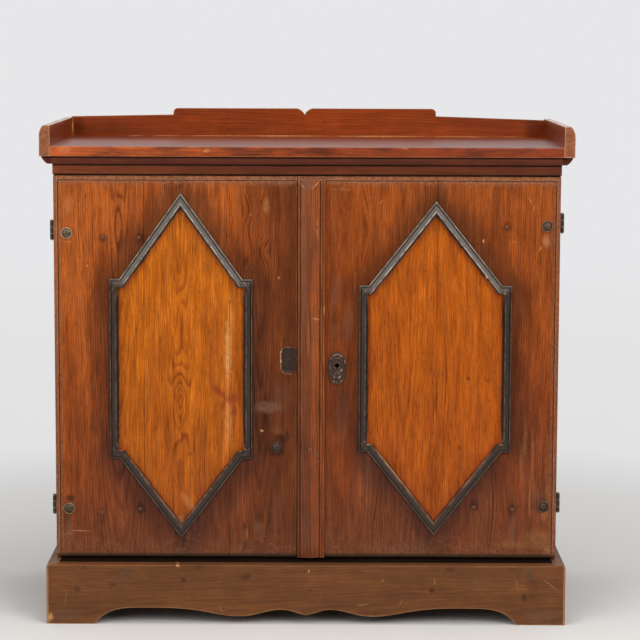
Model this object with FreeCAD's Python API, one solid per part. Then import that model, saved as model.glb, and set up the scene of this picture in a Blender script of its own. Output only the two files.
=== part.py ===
import FreeCAD, Part
import math
import os

# Low two-door pine cupboard with a tray top, on a separate scalloped plinth.
# Millimetres, +Z up, the doors face -Y, the origin is on the floor under the middle.

Vec = FreeCAD.Vector

# ---- overall ----
carcase_width = 1050.0
carcase_height = 846.0
plinth_depth = 495.0
plinth_height = 126.0
plinth_reach = 15.0           # plinth beyond the carcase, each side
top_reach = 25.0              # tray top beyond the carcase, each side
carcase_setback = 79.0        # plinth front to carcase front

# ---- plinth ----
plinth_board = 24.0
plinth_round = 4.0            # worn arris along the top outer edges
front_foot = 100.0            # foot of the front board, along the floor
side_foot = 84.0              # foot of a side board, along the floor
arch_rise = 35.0              # highest point of the scalloped edge
drop_rise = 18.5              # where the scallop dips between its two curves
centre_rise = 19.5            # tip of the small pendant in the middle
lobe_rise = 30.5              # small curve beside the pendant
ledge_board = 18.0            # flat boards inside the plinth's top edge
ledge_reach = 92.0            # front ledge, from the front board inwards
bearer_width = 40.0
block_side = 38.0
block_lift = 5.0              # corner blocks stay clear of the floor
back_rail_height = 80.0
back_rail_board = 20.0

# ---- carcase ----
side_board = 22.0
bottom_board = 22.0
back_board = 14.0
housing = 8.0                 # depth of the housings cut in the sides
back_rebate = 11.0
back_board_shares = (0.205, 0.190, 0.212, 0.183, 0.210)
back_board_gap = 0.6
top_rail_height = 57.0
top_rail_board = 20.0
frieze_height = 38.0
frieze_board = 24.0

# ---- shelves ----
shelf_board = 20.0
lower_shelf_rise = 246.5      # shelf tops above the plinth
upper_shelf_rise = 516.0
shelf_setback = 38.5          # carcase front to shelf front
shelf_clear = 0.8
cleat_width = 20.0
cleat_height = 28.0
cleat_inset = 12.0            # behind the shelf's front edge
cleat_back_gap = 21.0         # in front of the back boards

# ---- tray top ----
top_overhang = 44.0           # in front of the carcase
top_board = 21.0
top_joint = -5.0              # where the front and the rear board meet
top_edge_round = 3.0
gallery_board = 22.0
gallery_rise = 42.0           # sides, above the top board
gallery_ease = 8.0            # width of the eased outer corner
gallery_ease_drop = 24.0
splash_board = 20.0
splash_centre = -8.0          # middle of the raised part
splash_share = 0.266          # half the raised part, as a share of the top's width
splash_rise = 63.5
splash_left_end = 44.5        # wing heights, above the top board
splash_left_step = 49.0
splash_right_step = 47.0
splash_right_end = 39.0
splash_corner = 9.0
notch_half = 17.0
notch_depth = 14.0

# ---- cornice ----
cornice_height = 16.5
cornice_side_reach = 23.0
cornice_side_foot = 10.5
cornice_front_reach = 15.0
cornice_front_foot = 6.0
cornice_lip = 2.0
cornice_bulge = 1.4

# ---- doors ----
door_board = 24.0
door_lift = 7.0               # doors above the plinth
door_top_gap = 2.5            # under the frieze rail
door_back_gap = 1.0           # between the doors and the carcase front
door_side_gap = 1.0           # doors end this much inside the carcase sides
meeting_x = -19.0             # meeting edge of the right door
meeting_gap = 1.5
edge_bead = 8.0               # bead worked along the top and the hinge edge
edge_bead_round = 3.4
quirk_width = 1.8
quirk_depth = 2.8
edge_hollow = 5.0
door_foot_bevel = 6.0
board_gap = 0.4

# joints between the boards of each door, from its hinge edge
left_board_joints = (186.0, 364.0)
right_board_joints = (253.0,)

# hexagonal field of each door, from the door's edges; ears from the nearest apex
left_field = {"hinge": 114.5, "meet": 92.0, "top": 34.5, "bottom": 39.5,
              "top_ear": 179.0, "bottom_ear": 168.5, "ear": 20.5}
right_field = {"hinge": 98.5, "meet": 127.5, "top": 50.0, "bottom": 46.5,
               "top_ear": 175.5, "bottom_ear": 176.5, "ear": 19.5}

# black moulding round each field
moulding_width = 17.5
moulding_bead = 1.9
moulding_quirk = 1.3
moulding_height = 9.8
moulding_arris = 3.0          # raised inner edge

# battens behind the doors
batten_board = 18.0
batten_height = 45.0
batten_drop = 24.5            # upper batten under the door's top
batten_rise = 27.0            # lower batten above the door's bottom
batten_outer_inset = 28.0     # from the door's hinge edge
batten_inner_inset = 14.0     # from the meeting edge
batten_bevel = 6.0

# closing strip on the right door
strip_width = 57.0
strip_top_gap = 6.5
strip_bottom_gap = 1.0        # the strip ends this much under the door
strip_bead = 5.4
strip_reed = 5.0              # each of the two reeds on the right
strip_quirk = 2.0
strip_bead_foot = 5.0
strip_bead_top = 7.4
strip_shoulder = 6.2
strip_floor = 4.2
strip_ridge = 10.6
strip_ridge_x = 29.0          # ridge, from the strip's left edge
strip_hip = 24.0              # length of the bevelled top end

# ---- strap hinges ----
hinge_rise = {"left": 105.0, "right": 111.5}     # lower strap above the door's bottom
hinge_drop = {"left": 115.0, "right": 97.5}      # upper strap under the door's top
strap_height = 34.0
strap_thickness = 3.0
strap_length = 236.0
strap_tip = 16.0
strap_taper = 60.0
leaf_length = 92.0
knuckle_radius = 4.2
knuckle_height = 39.0
door_knuckle = 15.0
knuckle_gap = 0.5
knuckle_side_clear = 0.3
pin_radius = 2.0
pin_clear = 0.06
pin_head_radius = 3.3
pin_head = 2.0

# ---- fasteners ----
rivet_inset = 27.0            # from the door's hinge edge
rivet_drop = 4.0              # under the middle of the strap
rivet_radius = 12.0
rivet_dome = 5.0
rivet_shank = 4.0
shank_clear = 0.2
nail_radius = 3.2
nail_dome = 1.3
nail_shank = 1.5
# nails from the hinge edge and from the middle of the strap: lower strap, upper strap
left_nails = (((95.0, -13.0), (176.0, -5.0)), ((103.0, -11.5), (176.0, -13.0)))
right_nails = (((92.0, -10.5), (173.0, -5.5)), ((111.0, -6.0),))
# nails in the closing strip, from its left edge and the door's bottom
strip_nails = ((39.9, 695.6), (40.6, 566.6), (26.8, 229.0), (41.5, 203.0), (29.7, 75.3))
strip_nail_radius = 2.2

# ---- lock ----
key_inset = 82.3              # from the right door's meeting edge
key_rise = 405.6              # above the door's bottom
key_radius = 5.5
key_slot = 4.0
key_slot_length = 13.0
key_depth_in_case = 12.0
plate_half_width = 19.5
plate_half_height = 35.0
plate_thickness = 2.2
plate_rim = 3.2
plate_rim_height = 1.6
plate_drop = 6.7              # plate centre below the keyhole
case_left = 4.0               # lock case, from the meeting edge
case_width = 103.0
case_below = 40.0             # case below the keyhole
case_height = 80.0
case_depth = 16.0
bolt_height = 14.0
bolt_thickness = 7.0
bolt_length = 66.0
bolt_above_key = 9.5          # bolt's lower edge above the key
bolt_depth = 3.5              # door's inner face to the bolt
bolt_clear = 0.4
bolt_inset = 0.5              # withdrawn bolt behind the case's edge
bolt_throw = 16.0
keeper_edge = 2.5             # keeper, from the left door's meeting edge
keeper_width = 22.0
keeper_wall = 2.5
keeper_clear = 1.0
keeper_end = 5.0
keeper_plate_width = 29.6
keeper_plate_height = 51.5
keeper_plate_below = 14.6     # plate's lower edge below the keyhole
keeper_plate_edge = 1.5
keeper_plate_thickness = 2.5
keeper_plate_corner = 8.0

# ---- turn button inside the left door ----
button_inset = 41.5           # from the left door's meeting edge
button_length = 58.0
button_height = 13.0
button_thickness = 4.0
button_standoff = 6.0
button_bore_clear = 0.06
button_side_clear = 0.2
pivot_radius = 4.0
pivot_collar = 9.0
pivot_head = 7.5
pivot_head_thickness = 2.8
boss_radius = 11.5
boss_dome = 4.5
catch_width = 20.0
catch_offset = 42.0           # catch centre, from the pivot
catch_metal = 2.6
catch_clear = 1.0             # over the raised button
catch_lip_drop = 18.0
catch_plate = 21.0            # height of the plate on the shelf's front edge
catch_lip_clear = 1.4

# ---- derived places ----
plinth_width = carcase_width + 2 * plinth_reach
top_width = carcase_width + 2 * top_reach
front_y = -plinth_depth / 2
back_y = plinth_depth / 2
carcase_front = front_y + carcase_setback
carcase_half = carcase_width / 2
inner_half = carcase_half - side_board
carcase_top = plinth_height + carcase_height
back_face = back_y - back_board
lower_shelf_top = plinth_height + lower_shelf_rise
upper_shelf_top = plinth_height + upper_shelf_rise
top_front = carcase_front - top_overhang
top_surface = carcase_top + top_board
top_half = top_width / 2
door_back = carcase_front - door_back_gap
door_face = door_back - door_board
door_bottom = plinth_height + door_lift
door_top = carcase_top - frieze_height - door_top_gap
door_half = carcase_half - door_side_gap
left_meet = meeting_x - meeting_gap
hinge_heights = {side: (door_bottom + hinge_rise[side], door_top - hinge_drop[side])
                 for side in ("left", "right")}
hinge_x = carcase_half + knuckle_side_clear + knuckle_radius
hinge_y = door_back - strap_thickness + knuckle_radius
key_x = meeting_x + key_inset
key_y = door_face - plate_thickness
key_z = door_bottom + key_rise
button_x = left_meet - button_inset
button_z = lower_shelf_top - catch_clear - button_height / 2

parts = {}


def box(x0, x1, y0, y1, z0, z1):
    low = Vec(min(x0, x1), min(y0, y1), min(z0, z1))
    return Part.makeBox(abs(x1 - x0), abs(y1 - y0), abs(z1 - z0), low)


def mirrored(shape):
    return shape.mirror(Vec(0, 0, 0), Vec(1, 0, 0))


def cylinder_y(x, z, radius, y0, y1):
    return Part.makeCylinder(radius, abs(y1 - y0), Vec(x, min(y0, y1), z), Vec(0, 1, 0))


def cylinder_z(x, y, radius, z0, z1):
    return Part.makeCylinder(radius, z1 - z0, Vec(x, y, z0))


def outline_face(steps, place):
    """Closed face from (a, b) corners; a step of four numbers is an arc via its first pair."""
    edges = []
    last = place(*steps[0])
    for step in steps[1:] + [steps[0]]:
        end = place(*step[-2:])
        if len(step) == 4:
            edges.append(Part.Arc(last, place(*step[:2]), end).toShape())
        elif (end - last).Length > 1e-6:
            edges.append(Part.LineSegment(last, end).toShape())
        last = end
    return Part.Face(Part.Wire(edges))


def prism_y(corners, y0, y1):
    face = outline_face([tuple(c) for c in corners], lambda a, b: Vec(a, y0, b))
    return face.extrude(Vec(0, y1 - y0, 0))


def dome_y(x, z, radius, height, y):
    """Shallow cap that bulges towards -Y from the plane y."""
    ball = (radius ** 2 + height ** 2) / (2 * height)
    sphere = Part.makeSphere(ball, Vec(x, y + ball - height, z))
    return sphere.common(box(x - ball, x + ball, y - height - 1, y, z - ball, z + ball))


def offset_outline(points, inward):
    """Offset a counter-clockwise outline towards its inside."""
    lines = []
    count = len(points)
    for i in range(count):
        (ax, az), (bx, bz) = points[i], points[(i + 1) % count]
        length = math.hypot(bx - ax, bz - az)
        tx, tz = (bx - ax) / length, (bz - az) / length
        lines.append((ax - tz * inward, az + tx * inward, tx, tz))
    moved = []
    for i in range(count):
        px, pz, ux, uz = lines[i - 1]
        qx, qz, vx, vz = lines[i]
        cross = ux * vz - uz * vx
        along = ((qx - px) * vz - (qz - pz) * vx) / cross
        moved.append((px + ux * along, pz + uz * along))
    return moved


def field_outline(field, sign, meet):
    """Outer outline of the black moulding: a long hexagon with ears, counter-clockwise."""
    left, right = sorted((sign * (door_half - field["hinge"]), meet + sign * field["meet"]))
    cx, ear = (left + right) / 2, field["ear"]
    top, bottom = door_top - field["top"], door_bottom + field["bottom"]
    ear_top, ear_bottom = top - field["top_ear"], bottom + field["bottom_ear"]
    return [(cx, top), (left + ear, ear_top), (left, ear_top),
            (left, ear_bottom), (left + ear, ear_bottom), (cx, bottom),
            (right - ear, ear_bottom), (right, ear_bottom),
            (right, ear_top), (right - ear, ear_top)]


# ---- plinth ----

def arch_cutter(shares, y0, y1, half_span):
    """What is sawn out under a plinth board, between its feet; the outline is mirrored in x."""
    edges = []
    for sign in (1, -1):
        curve = Part.BSplineCurve()
        curve.interpolate([Vec(sign * share * half_span, y0, rise) for share, rise in shares])
        edges.append(curve.toShape())
    edges.append(Part.LineSegment(Vec(half_span, y0, -1), Vec(-half_span, y0, -1)).toShape())
    face = Part.Face(Part.Wire(Part.sortEdges(edges)[0]))
    return face.extrude(Vec(0, y1 - y0, 0))


def front_scallop():
    """Two long curves and a small pendant in the middle."""
    shares = ((0.0, centre_rise), (0.045, (centre_rise + lobe_rise) / 2), (0.088, lobe_rise),
              (0.27, drop_rise), (0.52, (arch_rise + drop_rise) / 2 + 3.0), (0.775, arch_rise),
              (0.928, arch_rise * 0.74), (1.0, -1.0))
    return arch_cutter(shares, -1, plinth_board + 1, plinth_width / 2 - front_foot)


def side_arch():
    shares = ((0.0, arch_rise), (0.45, arch_rise * 0.97), (0.8, arch_rise * 0.78), (1.0, -1.0))
    return arch_cutter(shares, -1, plinth_board + 1, plinth_depth / 2 - side_foot)


def plinth_board_run(length):
    """A plinth board along X with its outer face at y = 0 and its back at +Y, top arris worn."""
    turn = plinth_round * (1 - math.sqrt(0.5))
    steps = [(0, 0), (0, plinth_height - plinth_round),
             (turn, plinth_height - turn, plinth_round, plinth_height),
             (plinth_board, plinth_height), (plinth_board, 0)]
    face = outline_face(steps, lambda a, b: Vec(-length / 2, a, b))
    return face.extrude(Vec(length, 0, 0))


def mitre_cutter(length):
    """Takes the 45 degree mitre off the +X end of such a board."""
    reach = plinth_board + 2
    corners = [Vec(length / 2 + 2, -2, -2), Vec(length / 2 + 2, reach, -2),
               Vec(length / 2 - reach, reach, -2), Vec(length / 2 + 2, -2, -2)]
    return Part.Face(Part.makePolygon(corners)).extrude(Vec(0, 0, plinth_height + 4))


def make_plinth():
    front = plinth_board_run(plinth_width)
    cutter = mitre_cutter(plinth_width)
    front = front.cut(cutter).cut(mirrored(cutter))
    front = front.cut(front_scallop())
    front.translate(Vec(0, front_y, 0))
    parts["plinth_front"] = front

    side = plinth_board_run(plinth_depth)
    side = side.cut(mitre_cutter(plinth_depth))
    side = side.cut(side_arch())
    side.rotate(Vec(0, 0, 0), Vec(0, 0, 1), -90)
    side.translate(Vec(-plinth_width / 2, 0, 0))
    parts["plinth_side_left"] = side
    parts["plinth_side_right"] = mirrored(side)

    inner = plinth_width / 2 - plinth_board
    front_inner = front_y + plinth_board
    parts["plinth_back_rail"] = box(-inner, inner, back_y - back_rail_board, back_y,
                                    plinth_height - back_rail_height, plinth_height)
    ledge_z = plinth_height - ledge_board
    parts["plinth_ledge"] = box(-inner, inner, front_inner, front_inner + ledge_reach,
                                ledge_z, plinth_height)
    bearer_y0 = front_inner + ledge_reach
    bearer = box(inner - bearer_width, inner, bearer_y0, back_y - back_rail_board,
                 ledge_z, plinth_height)
    parts["plinth_bearers"] = Part.Compound([bearer, mirrored(bearer)])
    front_block = box(inner - block_side, inner, front_inner, front_inner + block_side,
                      block_lift, ledge_z)
    rear_block = front_block.copy()
    rear_block.translate(Vec(0, back_y - back_rail_board - block_side - front_inner, 0))
    parts["plinth_corner_blocks"] = Part.Compound([front_block, mirrored(front_block),
                                                   rear_block, mirrored(rear_block)])


# ---- carcase ----

def make_carcase():
    side = box(inner_half, carcase_half, carcase_front, back_y, plinth_height, carcase_top)
    side = side.cut(box(inner_half - 1, inner_half + back_rebate, back_face, back_y + 1,
                        plinth_height - 1, carcase_top + 1))
    side = side.cut(box(inner_half - 1, inner_half + housing, carcase_front - 1, back_face,
                        plinth_height - 1, plinth_height + bottom_board))
    side = side.cut(box(inner_half - 1, inner_half + housing, carcase_front - 1,
                        carcase_front + top_rail_board, carcase_top - top_rail_height,
                        carcase_top + 1))
    parts["carcase_side_right"] = side
    parts["carcase_side_left"] = mirrored(side)

    housed = inner_half + housing
    parts["carcase_bottom"] = box(-housed, housed, carcase_front, back_face,
                                  plinth_height, plinth_height + bottom_board)
    parts["carcase_top_rail"] = box(-housed, housed, carcase_front,
                                    carcase_front + top_rail_board,
                                    carcase_top - top_rail_height, carcase_top)
    parts["frieze_rail"] = box(-carcase_half, carcase_half, carcase_front - frieze_board,
                               carcase_front, carcase_top - frieze_height, carcase_top)

    width = 2 * (inner_half + back_rebate)
    left = -width / 2
    for i, share in enumerate(back_board_shares):
        right = left + width * share
        parts["back_board_%d" % (i + 1)] = box(left, right - back_board_gap, back_face, back_y,
                                               plinth_height, carcase_top)
        left = right


def make_shelves():
    half = inner_half - shelf_clear
    front = carcase_front + shelf_setback
    for name, top in (("lower", lower_shelf_top), ("upper", upper_shelf_top)):
        parts["%s_shelf" % name] = box(-half, half, front, back_face - shelf_clear,
                                       top - shelf_board, top)
        cleat = box(inner_half - cleat_width, inner_half, front + cleat_inset,
                    back_face - cleat_back_gap, top - shelf_board - cleat_height,
                    top - shelf_board)
        parts["%s_shelf_cleats" % name] = Part.Compound([cleat, mirrored(cleat)])


# ---- tray top ----

def make_top():
    inside = top_half - gallery_board
    turn = top_edge_round * (1 - math.sqrt(0.5))
    steps = [(top_front, carcase_top), (top_front, top_surface - top_edge_round),
             (top_front + turn, top_surface - turn, top_front + top_edge_round, top_surface),
             (top_joint - board_gap, top_surface), (top_joint - board_gap, carcase_top)]
    face = outline_face(steps, lambda a, b: Vec(-inside, a, b))
    parts["top_board_front"] = face.extrude(Vec(2 * inside, 0, 0))
    splash_front = back_y - splash_board
    parts["top_board_rear"] = box(-inside, inside, top_joint, splash_front,
                                  carcase_top, top_surface)

    side_top = top_surface + gallery_rise
    ease_x = top_half - gallery_ease
    steps = [(inside, carcase_top), (inside, side_top), (ease_x, side_top),
             (top_half - gallery_ease * 0.3, side_top - gallery_ease_drop * 0.38,
              top_half, side_top - gallery_ease_drop),
             (top_half, carcase_top)]
    face = outline_face(steps, lambda a, b: Vec(a, top_front, b))
    side = face.extrude(Vec(0, back_y - top_front, 0))
    parts["gallery_right"] = side
    parts["gallery_left"] = mirrored(side)

    left_x = splash_centre - top_width * splash_share
    right_x = splash_centre + top_width * splash_share
    ridge = top_surface + splash_rise
    bend = splash_corner * 0.3
    steps = [(-inside, carcase_top), (-inside, top_surface + splash_left_end),
             (left_x, top_surface + splash_left_step), (left_x, ridge - splash_corner),
             (left_x + bend, ridge - bend, left_x + splash_corner, ridge),
             (splash_centre - notch_half, ridge),
             (splash_centre - notch_half * 0.35, ridge - notch_depth * 0.4,
              splash_centre, ridge - notch_depth),
             (splash_centre + notch_half * 0.35, ridge - notch_depth * 0.4,
              splash_centre + notch_half, ridge),
             (right_x - splash_corner, ridge),
             (right_x - bend, ridge - bend, right_x, ridge - splash_corner),
             (right_x, top_surface + splash_right_step),
             (inside, top_surface + splash_right_end), (inside, carcase_top)]
    face = outline_face(steps, lambda a, b: Vec(a, splash_front, b))
    parts["gallery_back"] = face.extrude(Vec(0, splash_board, 0))


def cornice_face(reach, foot, place):
    middle = (reach + foot) / 2
    lip_z = carcase_top - cornice_lip
    foot_z = carcase_top - cornice_height
    slope = math.hypot(reach - foot, lip_z - foot_z)
    bulge_u = middle + cornice_bulge * (lip_z - foot_z) / slope
    bulge_z = (lip_z + foot_z) / 2 - cornice_bulge * (reach - foot) / slope
    steps = [(0, carcase_top), (reach, carcase_top), (reach, lip_z),
             (bulge_u, bulge_z, foot, foot_z), (0, foot_z)]
    return outline_face(steps, place)


def make_cornice():
    frieze_face = carcase_front - frieze_board
    face = cornice_face(cornice_front_reach, cornice_front_foot,
                        lambda u, z: Vec(-carcase_half, frieze_face - u, z))
    parts["cornice_front"] = face.extrude(Vec(carcase_width, 0, 0))
    face = cornice_face(cornice_side_reach, cornice_side_foot,
                        lambda u, z: Vec(carcase_half + u, frieze_face, z))
    side = face.extrude(Vec(0, back_y - frieze_face, 0))
    parts["cornice_right"] = side
    parts["cornice_left"] = mirrored(side)


# ---- hinges ----

def strap_outline(length, height):
    """Strap seen from the front: u runs from the knuckle inwards, ends in a blunt taper."""
    half = height / 2
    tip = strap_tip / 2
    return [(0, -half), (length - strap_taper, -half), (length - 4, -tip), (length, -tip + 4),
            (length, tip - 4), (length - 4, tip), (length - strap_taper, half), (0, half)]


def strap_solid(z, grow=0.0):
    """Right-hand door strap, let into the back of the door."""
    corners = [(door_half - u, z + v) for u, v in strap_outline(strap_length, strap_height)]
    if grow:
        corners = offset_outline(corners[::-1], -grow)
        corners = [(x + (2 if x > door_half - 1 else 0), v) for x, v in corners]
    return prism_y(corners, door_back - strap_thickness, door_back)


def knuckle(z0, z1, bore):
    outer = cylinder_z(hinge_x, hinge_y, knuckle_radius, z0, z1)
    return outer, cylinder_z(hinge_x, hinge_y, bore, z0 - 1, z1 + 1)


def door_strap(z):
    half = door_knuckle / 2 - knuckle_gap / 2
    outer, hole = knuckle(z - half, z + half, pin_radius + pin_clear)
    tab = box(door_half - 1, hinge_x, door_back - strap_thickness, door_back, z - half, z + half)
    strap = strap_solid(z).fuse([tab, outer]).cut(hole)
    return strap.cut(cylinder_y(door_half - rivet_inset, z - rivet_drop,
                                rivet_shank + shank_clear, door_face - 1, door_back + 1))


def side_leaf(z):
    tall = knuckle_height / 2
    y0 = hinge_y + knuckle_radius + 0.8
    inner, outer = carcase_half, carcase_half + strap_thickness
    half, tip = tall, strap_tip / 2
    corners = [Vec(inner, y0, z - half), Vec(inner, y0 + leaf_length * 0.6, z - half),
               Vec(inner, y0 + leaf_length, z - tip), Vec(inner, y0 + leaf_length, z + tip),
               Vec(inner, y0 + leaf_length * 0.6, z + half), Vec(inner, y0, z + half),
               Vec(inner, y0, z - half)]
    leaf = Part.Face(Part.makePolygon(corners)).extrude(Vec(outer - inner, 0, 0))
    for sign in (-1, 1):
        z0, z1 = sorted((z + sign * door_knuckle / 2, z + sign * tall))
        barrel, hole = knuckle(z0, z1, pin_radius + pin_clear)
        tab = box(inner, outer, hinge_y, y0 + 1, z0, z1)
        barrel = barrel.cut(box(inner - 5, inner, hinge_y - 9, hinge_y + 9, z0 - 1, z1 + 1))
        leaf = leaf.fuse([tab, barrel]).cut(hole)
    return leaf


def hinge_pin(z):
    tall = knuckle_height / 2
    pin = cylinder_z(hinge_x, hinge_y, pin_radius, z - tall - 1.5, z + tall + 0.3)
    head = cylinder_z(hinge_x, hinge_y, pin_head_radius, z + tall + 0.3, z + tall + pin_head)
    return pin.fuse(head)


def make_hinges():
    pins = []
    for side, heights in hinge_heights.items():
        straps = [door_strap(z) for z in heights]
        leaves = [side_leaf(z) for z in heights]
        side_pins = [hinge_pin(z) for z in heights]
        if side == "left":
            straps, leaves, side_pins = [[mirrored(s) for s in group]
                                         for group in (straps, leaves, side_pins)]
        parts["%s_door_straps" % side] = Part.Compound(straps)
        parts["%s_hinge_leaves" % side] = Part.Compound(leaves)
        pins += side_pins
    parts["hinge_pins"] = Part.Compound(pins)


# ---- doors ----

def door_slab(meet, sign):
    """Whole door blank with its worked edges; sign is +1 for the right door."""
    edge = sign * door_half
    blank = box(meet, edge, door_face, door_back, door_bottom, door_top)
    arrises = []
    for e in blank.Edges:
        middle = e.CenterOfMass
        on_face = abs(middle.y - door_face) < 0.01
        at_top = abs(middle.z - door_top) < 0.01
        at_hinge = abs(middle.x - edge) < 0.01
        if on_face and (at_top or at_hinge):
            arrises.append(e)
    blank = blank.makeFillet(edge_bead_round, arrises)
    hollow_end = edge_bead + quirk_width + edge_hollow
    section = [(edge_bead, -1), (edge_bead, quirk_depth), (edge_bead + quirk_width, quirk_depth),
               (edge_bead + quirk_width, quirk_depth * 0.5),
               (edge_bead + quirk_width + edge_hollow * 0.35, quirk_depth * 0.2, hollow_end, -0.05),
               (hollow_end, -1)]
    x_in = edge - sign * edge_bead
    top_groove = outline_face(section, lambda u, d: Vec(meet - sign, door_face + d, door_top - u))
    top_groove = top_groove.extrude(Vec(x_in - meet + sign, 0, 0))
    side_groove = outline_face(section, lambda u, d: Vec(edge - sign * u, door_face + d,
                                                         door_bottom - 1))
    side_groove = side_groove.extrude(Vec(0, 0, door_top - edge_bead - door_bottom + 1))
    bevel = outline_face([(door_face - 1, door_bottom - 1),
                          (door_face - 1, door_bottom + door_foot_bevel),
                          (door_face, door_bottom + door_foot_bevel),
                          (door_face + door_foot_bevel * 0.7, door_bottom),
                          (door_face + door_foot_bevel * 0.7, door_bottom - 1)],
                         lambda a, b: Vec(meet - sign, a, b))
    bevel = bevel.extrude(Vec(edge - meet + 2 * sign, 0, 0))
    return blank.cut([top_groove, side_groove, bevel])


def moulding_section():
    """Section of the moulding: u inwards from its outer edge, h above the door face."""
    bead = moulding_bead
    band = 2 * bead + moulding_quirk
    arris = moulding_width - moulding_arris
    high = moulding_height
    middle = (band + arris) / 2
    return [(0, 0), (0, high * 0.45), (bead, high * 0.45 + bead, 2 * bead, high * 0.45),
            (2 * bead, high * 0.33), (band, high * 0.33), (band, high * 0.52),
            (middle, high * 0.62, arris, high * 0.84), (arris, high * 0.93),
            (arris + moulding_arris / 2, high, moulding_width, high * 0.88),
            (moulding_width, 0)]


def moulding_strip(outer, inner, i):
    """One mitred length of moulding along edge i of the outline."""
    j = (i + 1) % len(outer)
    (ax, az), (bx, bz) = outer[i], outer[j]
    length = math.hypot(bx - ax, bz - az)
    tx, tz = (bx - ax) / length, (bz - az) / length
    spare = 2 * moulding_width
    start_x, start_z = ax - tx * spare, az - tz * spare
    face = outline_face(moulding_section(),
                        lambda u, h: Vec(start_x - tz * u, door_face - h, start_z + tx * u))
    run = face.extrude(Vec(tx, 0, tz) * (length + 2 * spare))
    foot = prism_y([outer[i], outer[j], inner[j], inner[i]],
                   door_face - 2 * moulding_height, door_face + 1)
    return run.common(foot).Solids[0]


def make_field(side, outer):
    inner = offset_outline(outer, moulding_width)
    strips = [moulding_strip(outer, inner, i) for i in range(len(outer))]
    slanting = (0, 4, 5, 9)
    parts["%s_field_diagonals" % side] = Part.Compound([strips[i] for i in slanting])
    parts["%s_field_uprights" % side] = Part.Compound(
        [s for i, s in enumerate(strips) if i not in slanting])


def make_battens(side, sign, meet):
    """Two battens across the back of a door, with bevelled long edges."""
    x_out = sign * (door_half - batten_outer_inset)
    x_in = meet + sign * batten_inner_inset
    deep = door_back + batten_board
    battens = []
    for z in (door_bottom + batten_rise, door_top - batten_drop - batten_height):
        steps = [(door_back, z), (door_back, z + batten_height),
                 (deep - batten_bevel, z + batten_height), (deep, z + batten_height - batten_bevel),
                 (deep, z + batten_bevel), (deep - batten_bevel, z)]
        face = outline_face(steps, lambda a, b: Vec(min(x_in, x_out), a, b))
        battens.append(face.extrude(Vec(abs(x_out - x_in), 0, 0)))
    parts["%s_door_battens" % side] = Part.Compound(battens)


def rivet(x, z):
    shank = cylinder_y(x, z, rivet_shank, door_face, door_back)
    return dome_y(x, z, rivet_radius, rivet_dome, door_face).fuse(shank)


def nail(x, z, face, radius, depth):
    return dome_y(x, z, radius, nail_dome, face).fuse(cylinder_y(x, z, nail_shank, face,
                                                                 face + depth))


def key_cutter(y0, y1):
    """Round hole with the slot for the key's bit below it."""
    slot = box(key_x - key_slot / 2, key_x + key_slot / 2, y0, y1,
               key_z - key_slot_length, key_z)
    return cylinder_y(key_x, key_z, key_radius, y0, y1).fuse(slot)


def make_doors():
    sides = (("left", -1, left_meet, left_field, left_nails, left_board_joints),
             ("right", 1, meeting_x, right_field, right_nails, right_board_joints))
    for side, sign, meet, field, nail_places, joints in sides:
        edge = sign * door_half
        nails = [(edge - sign * inset, z + offset)
                 for z, places in zip(hinge_heights[side], nail_places)
                 for inset, offset in places]
        slab = door_slab(meet, sign)
        recesses = [strap_solid(z, 0.2) for z in hinge_heights[side]]
        if sign < 0:
            recesses = [mirrored(r) for r in recesses]
        rivet_x = edge - sign * rivet_inset
        rivet_zs = [z - rivet_drop for z in hinge_heights[side]]
        holes = [cylinder_y(rivet_x, z, rivet_shank + shank_clear, door_face - 9, door_back + 9)
                 for z in rivet_zs]
        holes += [cylinder_y(x, z, nail_shank + shank_clear, door_face - 9, door_back + 9)
                  for x, z in nails]
        if sign < 0:
            holes.append(cylinder_y(button_x, button_z, pivot_radius + shank_clear,
                                    door_face - 9, door_back + 9))
        else:
            holes.append(key_cutter(door_face - 1, door_back + 1))
        slab = slab.cut(recesses + holes)
        limits = sorted([meet - sign * door_board, edge + sign * door_board]
                        + [edge - sign * joint for joint in joints])
        for i in range(len(limits) - 1):
            board = slab.common(box(limits[i] + board_gap / 2, limits[i + 1] - board_gap / 2,
                                    door_face - 1, door_back + 1, door_bottom - 1, door_top + 1))
            parts["%s_door_board_%d" % (side, i + 1)] = board.Solids[0]
        make_field(side, field_outline(field, sign, meet))
        make_battens(side, sign, meet)
        parts["%s_door_rivets" % side] = Part.Compound([rivet(rivet_x, z) for z in rivet_zs])
        heads = [nail(x, z, door_face, nail_radius, door_board - strap_thickness - 0.2)
                 for x, z in nails]
        parts["%s_door_nails" % side] = Part.Compound(heads)


def strip_section():
    """Closing strip: a bead on the left and two reeds on the right of a low ridge."""
    left = meeting_x
    right = left + strip_width
    ridge_x = left + strip_ridge_x
    quirk_l = left + strip_bead
    quirk_r = right - 2 * strip_reed
    foot, top, floor = strip_bead_foot, strip_bead_top, strip_floor
    return [(left, 0), (left, foot),
            (left + strip_bead / 2, top, quirk_l, foot),
            (quirk_l, floor), (quirk_l + strip_quirk, floor),
            (quirk_l + strip_quirk, strip_shoulder), (ridge_x, strip_ridge),
            (quirk_r - strip_quirk, strip_shoulder), (quirk_r - strip_quirk, floor),
            (quirk_r, floor), (quirk_r, foot),
            (quirk_r + strip_reed / 2, top, quirk_r + strip_reed, foot + 0.6),
            (right - strip_reed / 2, top, right, foot),
            (right, 0)]


def strip_height(x):
    """Height of the ridged field of the strip above the door face, at x."""
    ridge_x = meeting_x + strip_ridge_x
    edge_l = meeting_x + strip_bead + strip_quirk
    edge_r = meeting_x + strip_width - 2 * strip_reed - strip_quirk
    if x < ridge_x:
        share = (x - edge_l) / (ridge_x - edge_l)
    else:
        share = (edge_r - x) / (edge_r - ridge_x)
    return strip_shoulder + (strip_ridge - strip_shoulder) * max(0.0, min(1.0, share))


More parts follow.
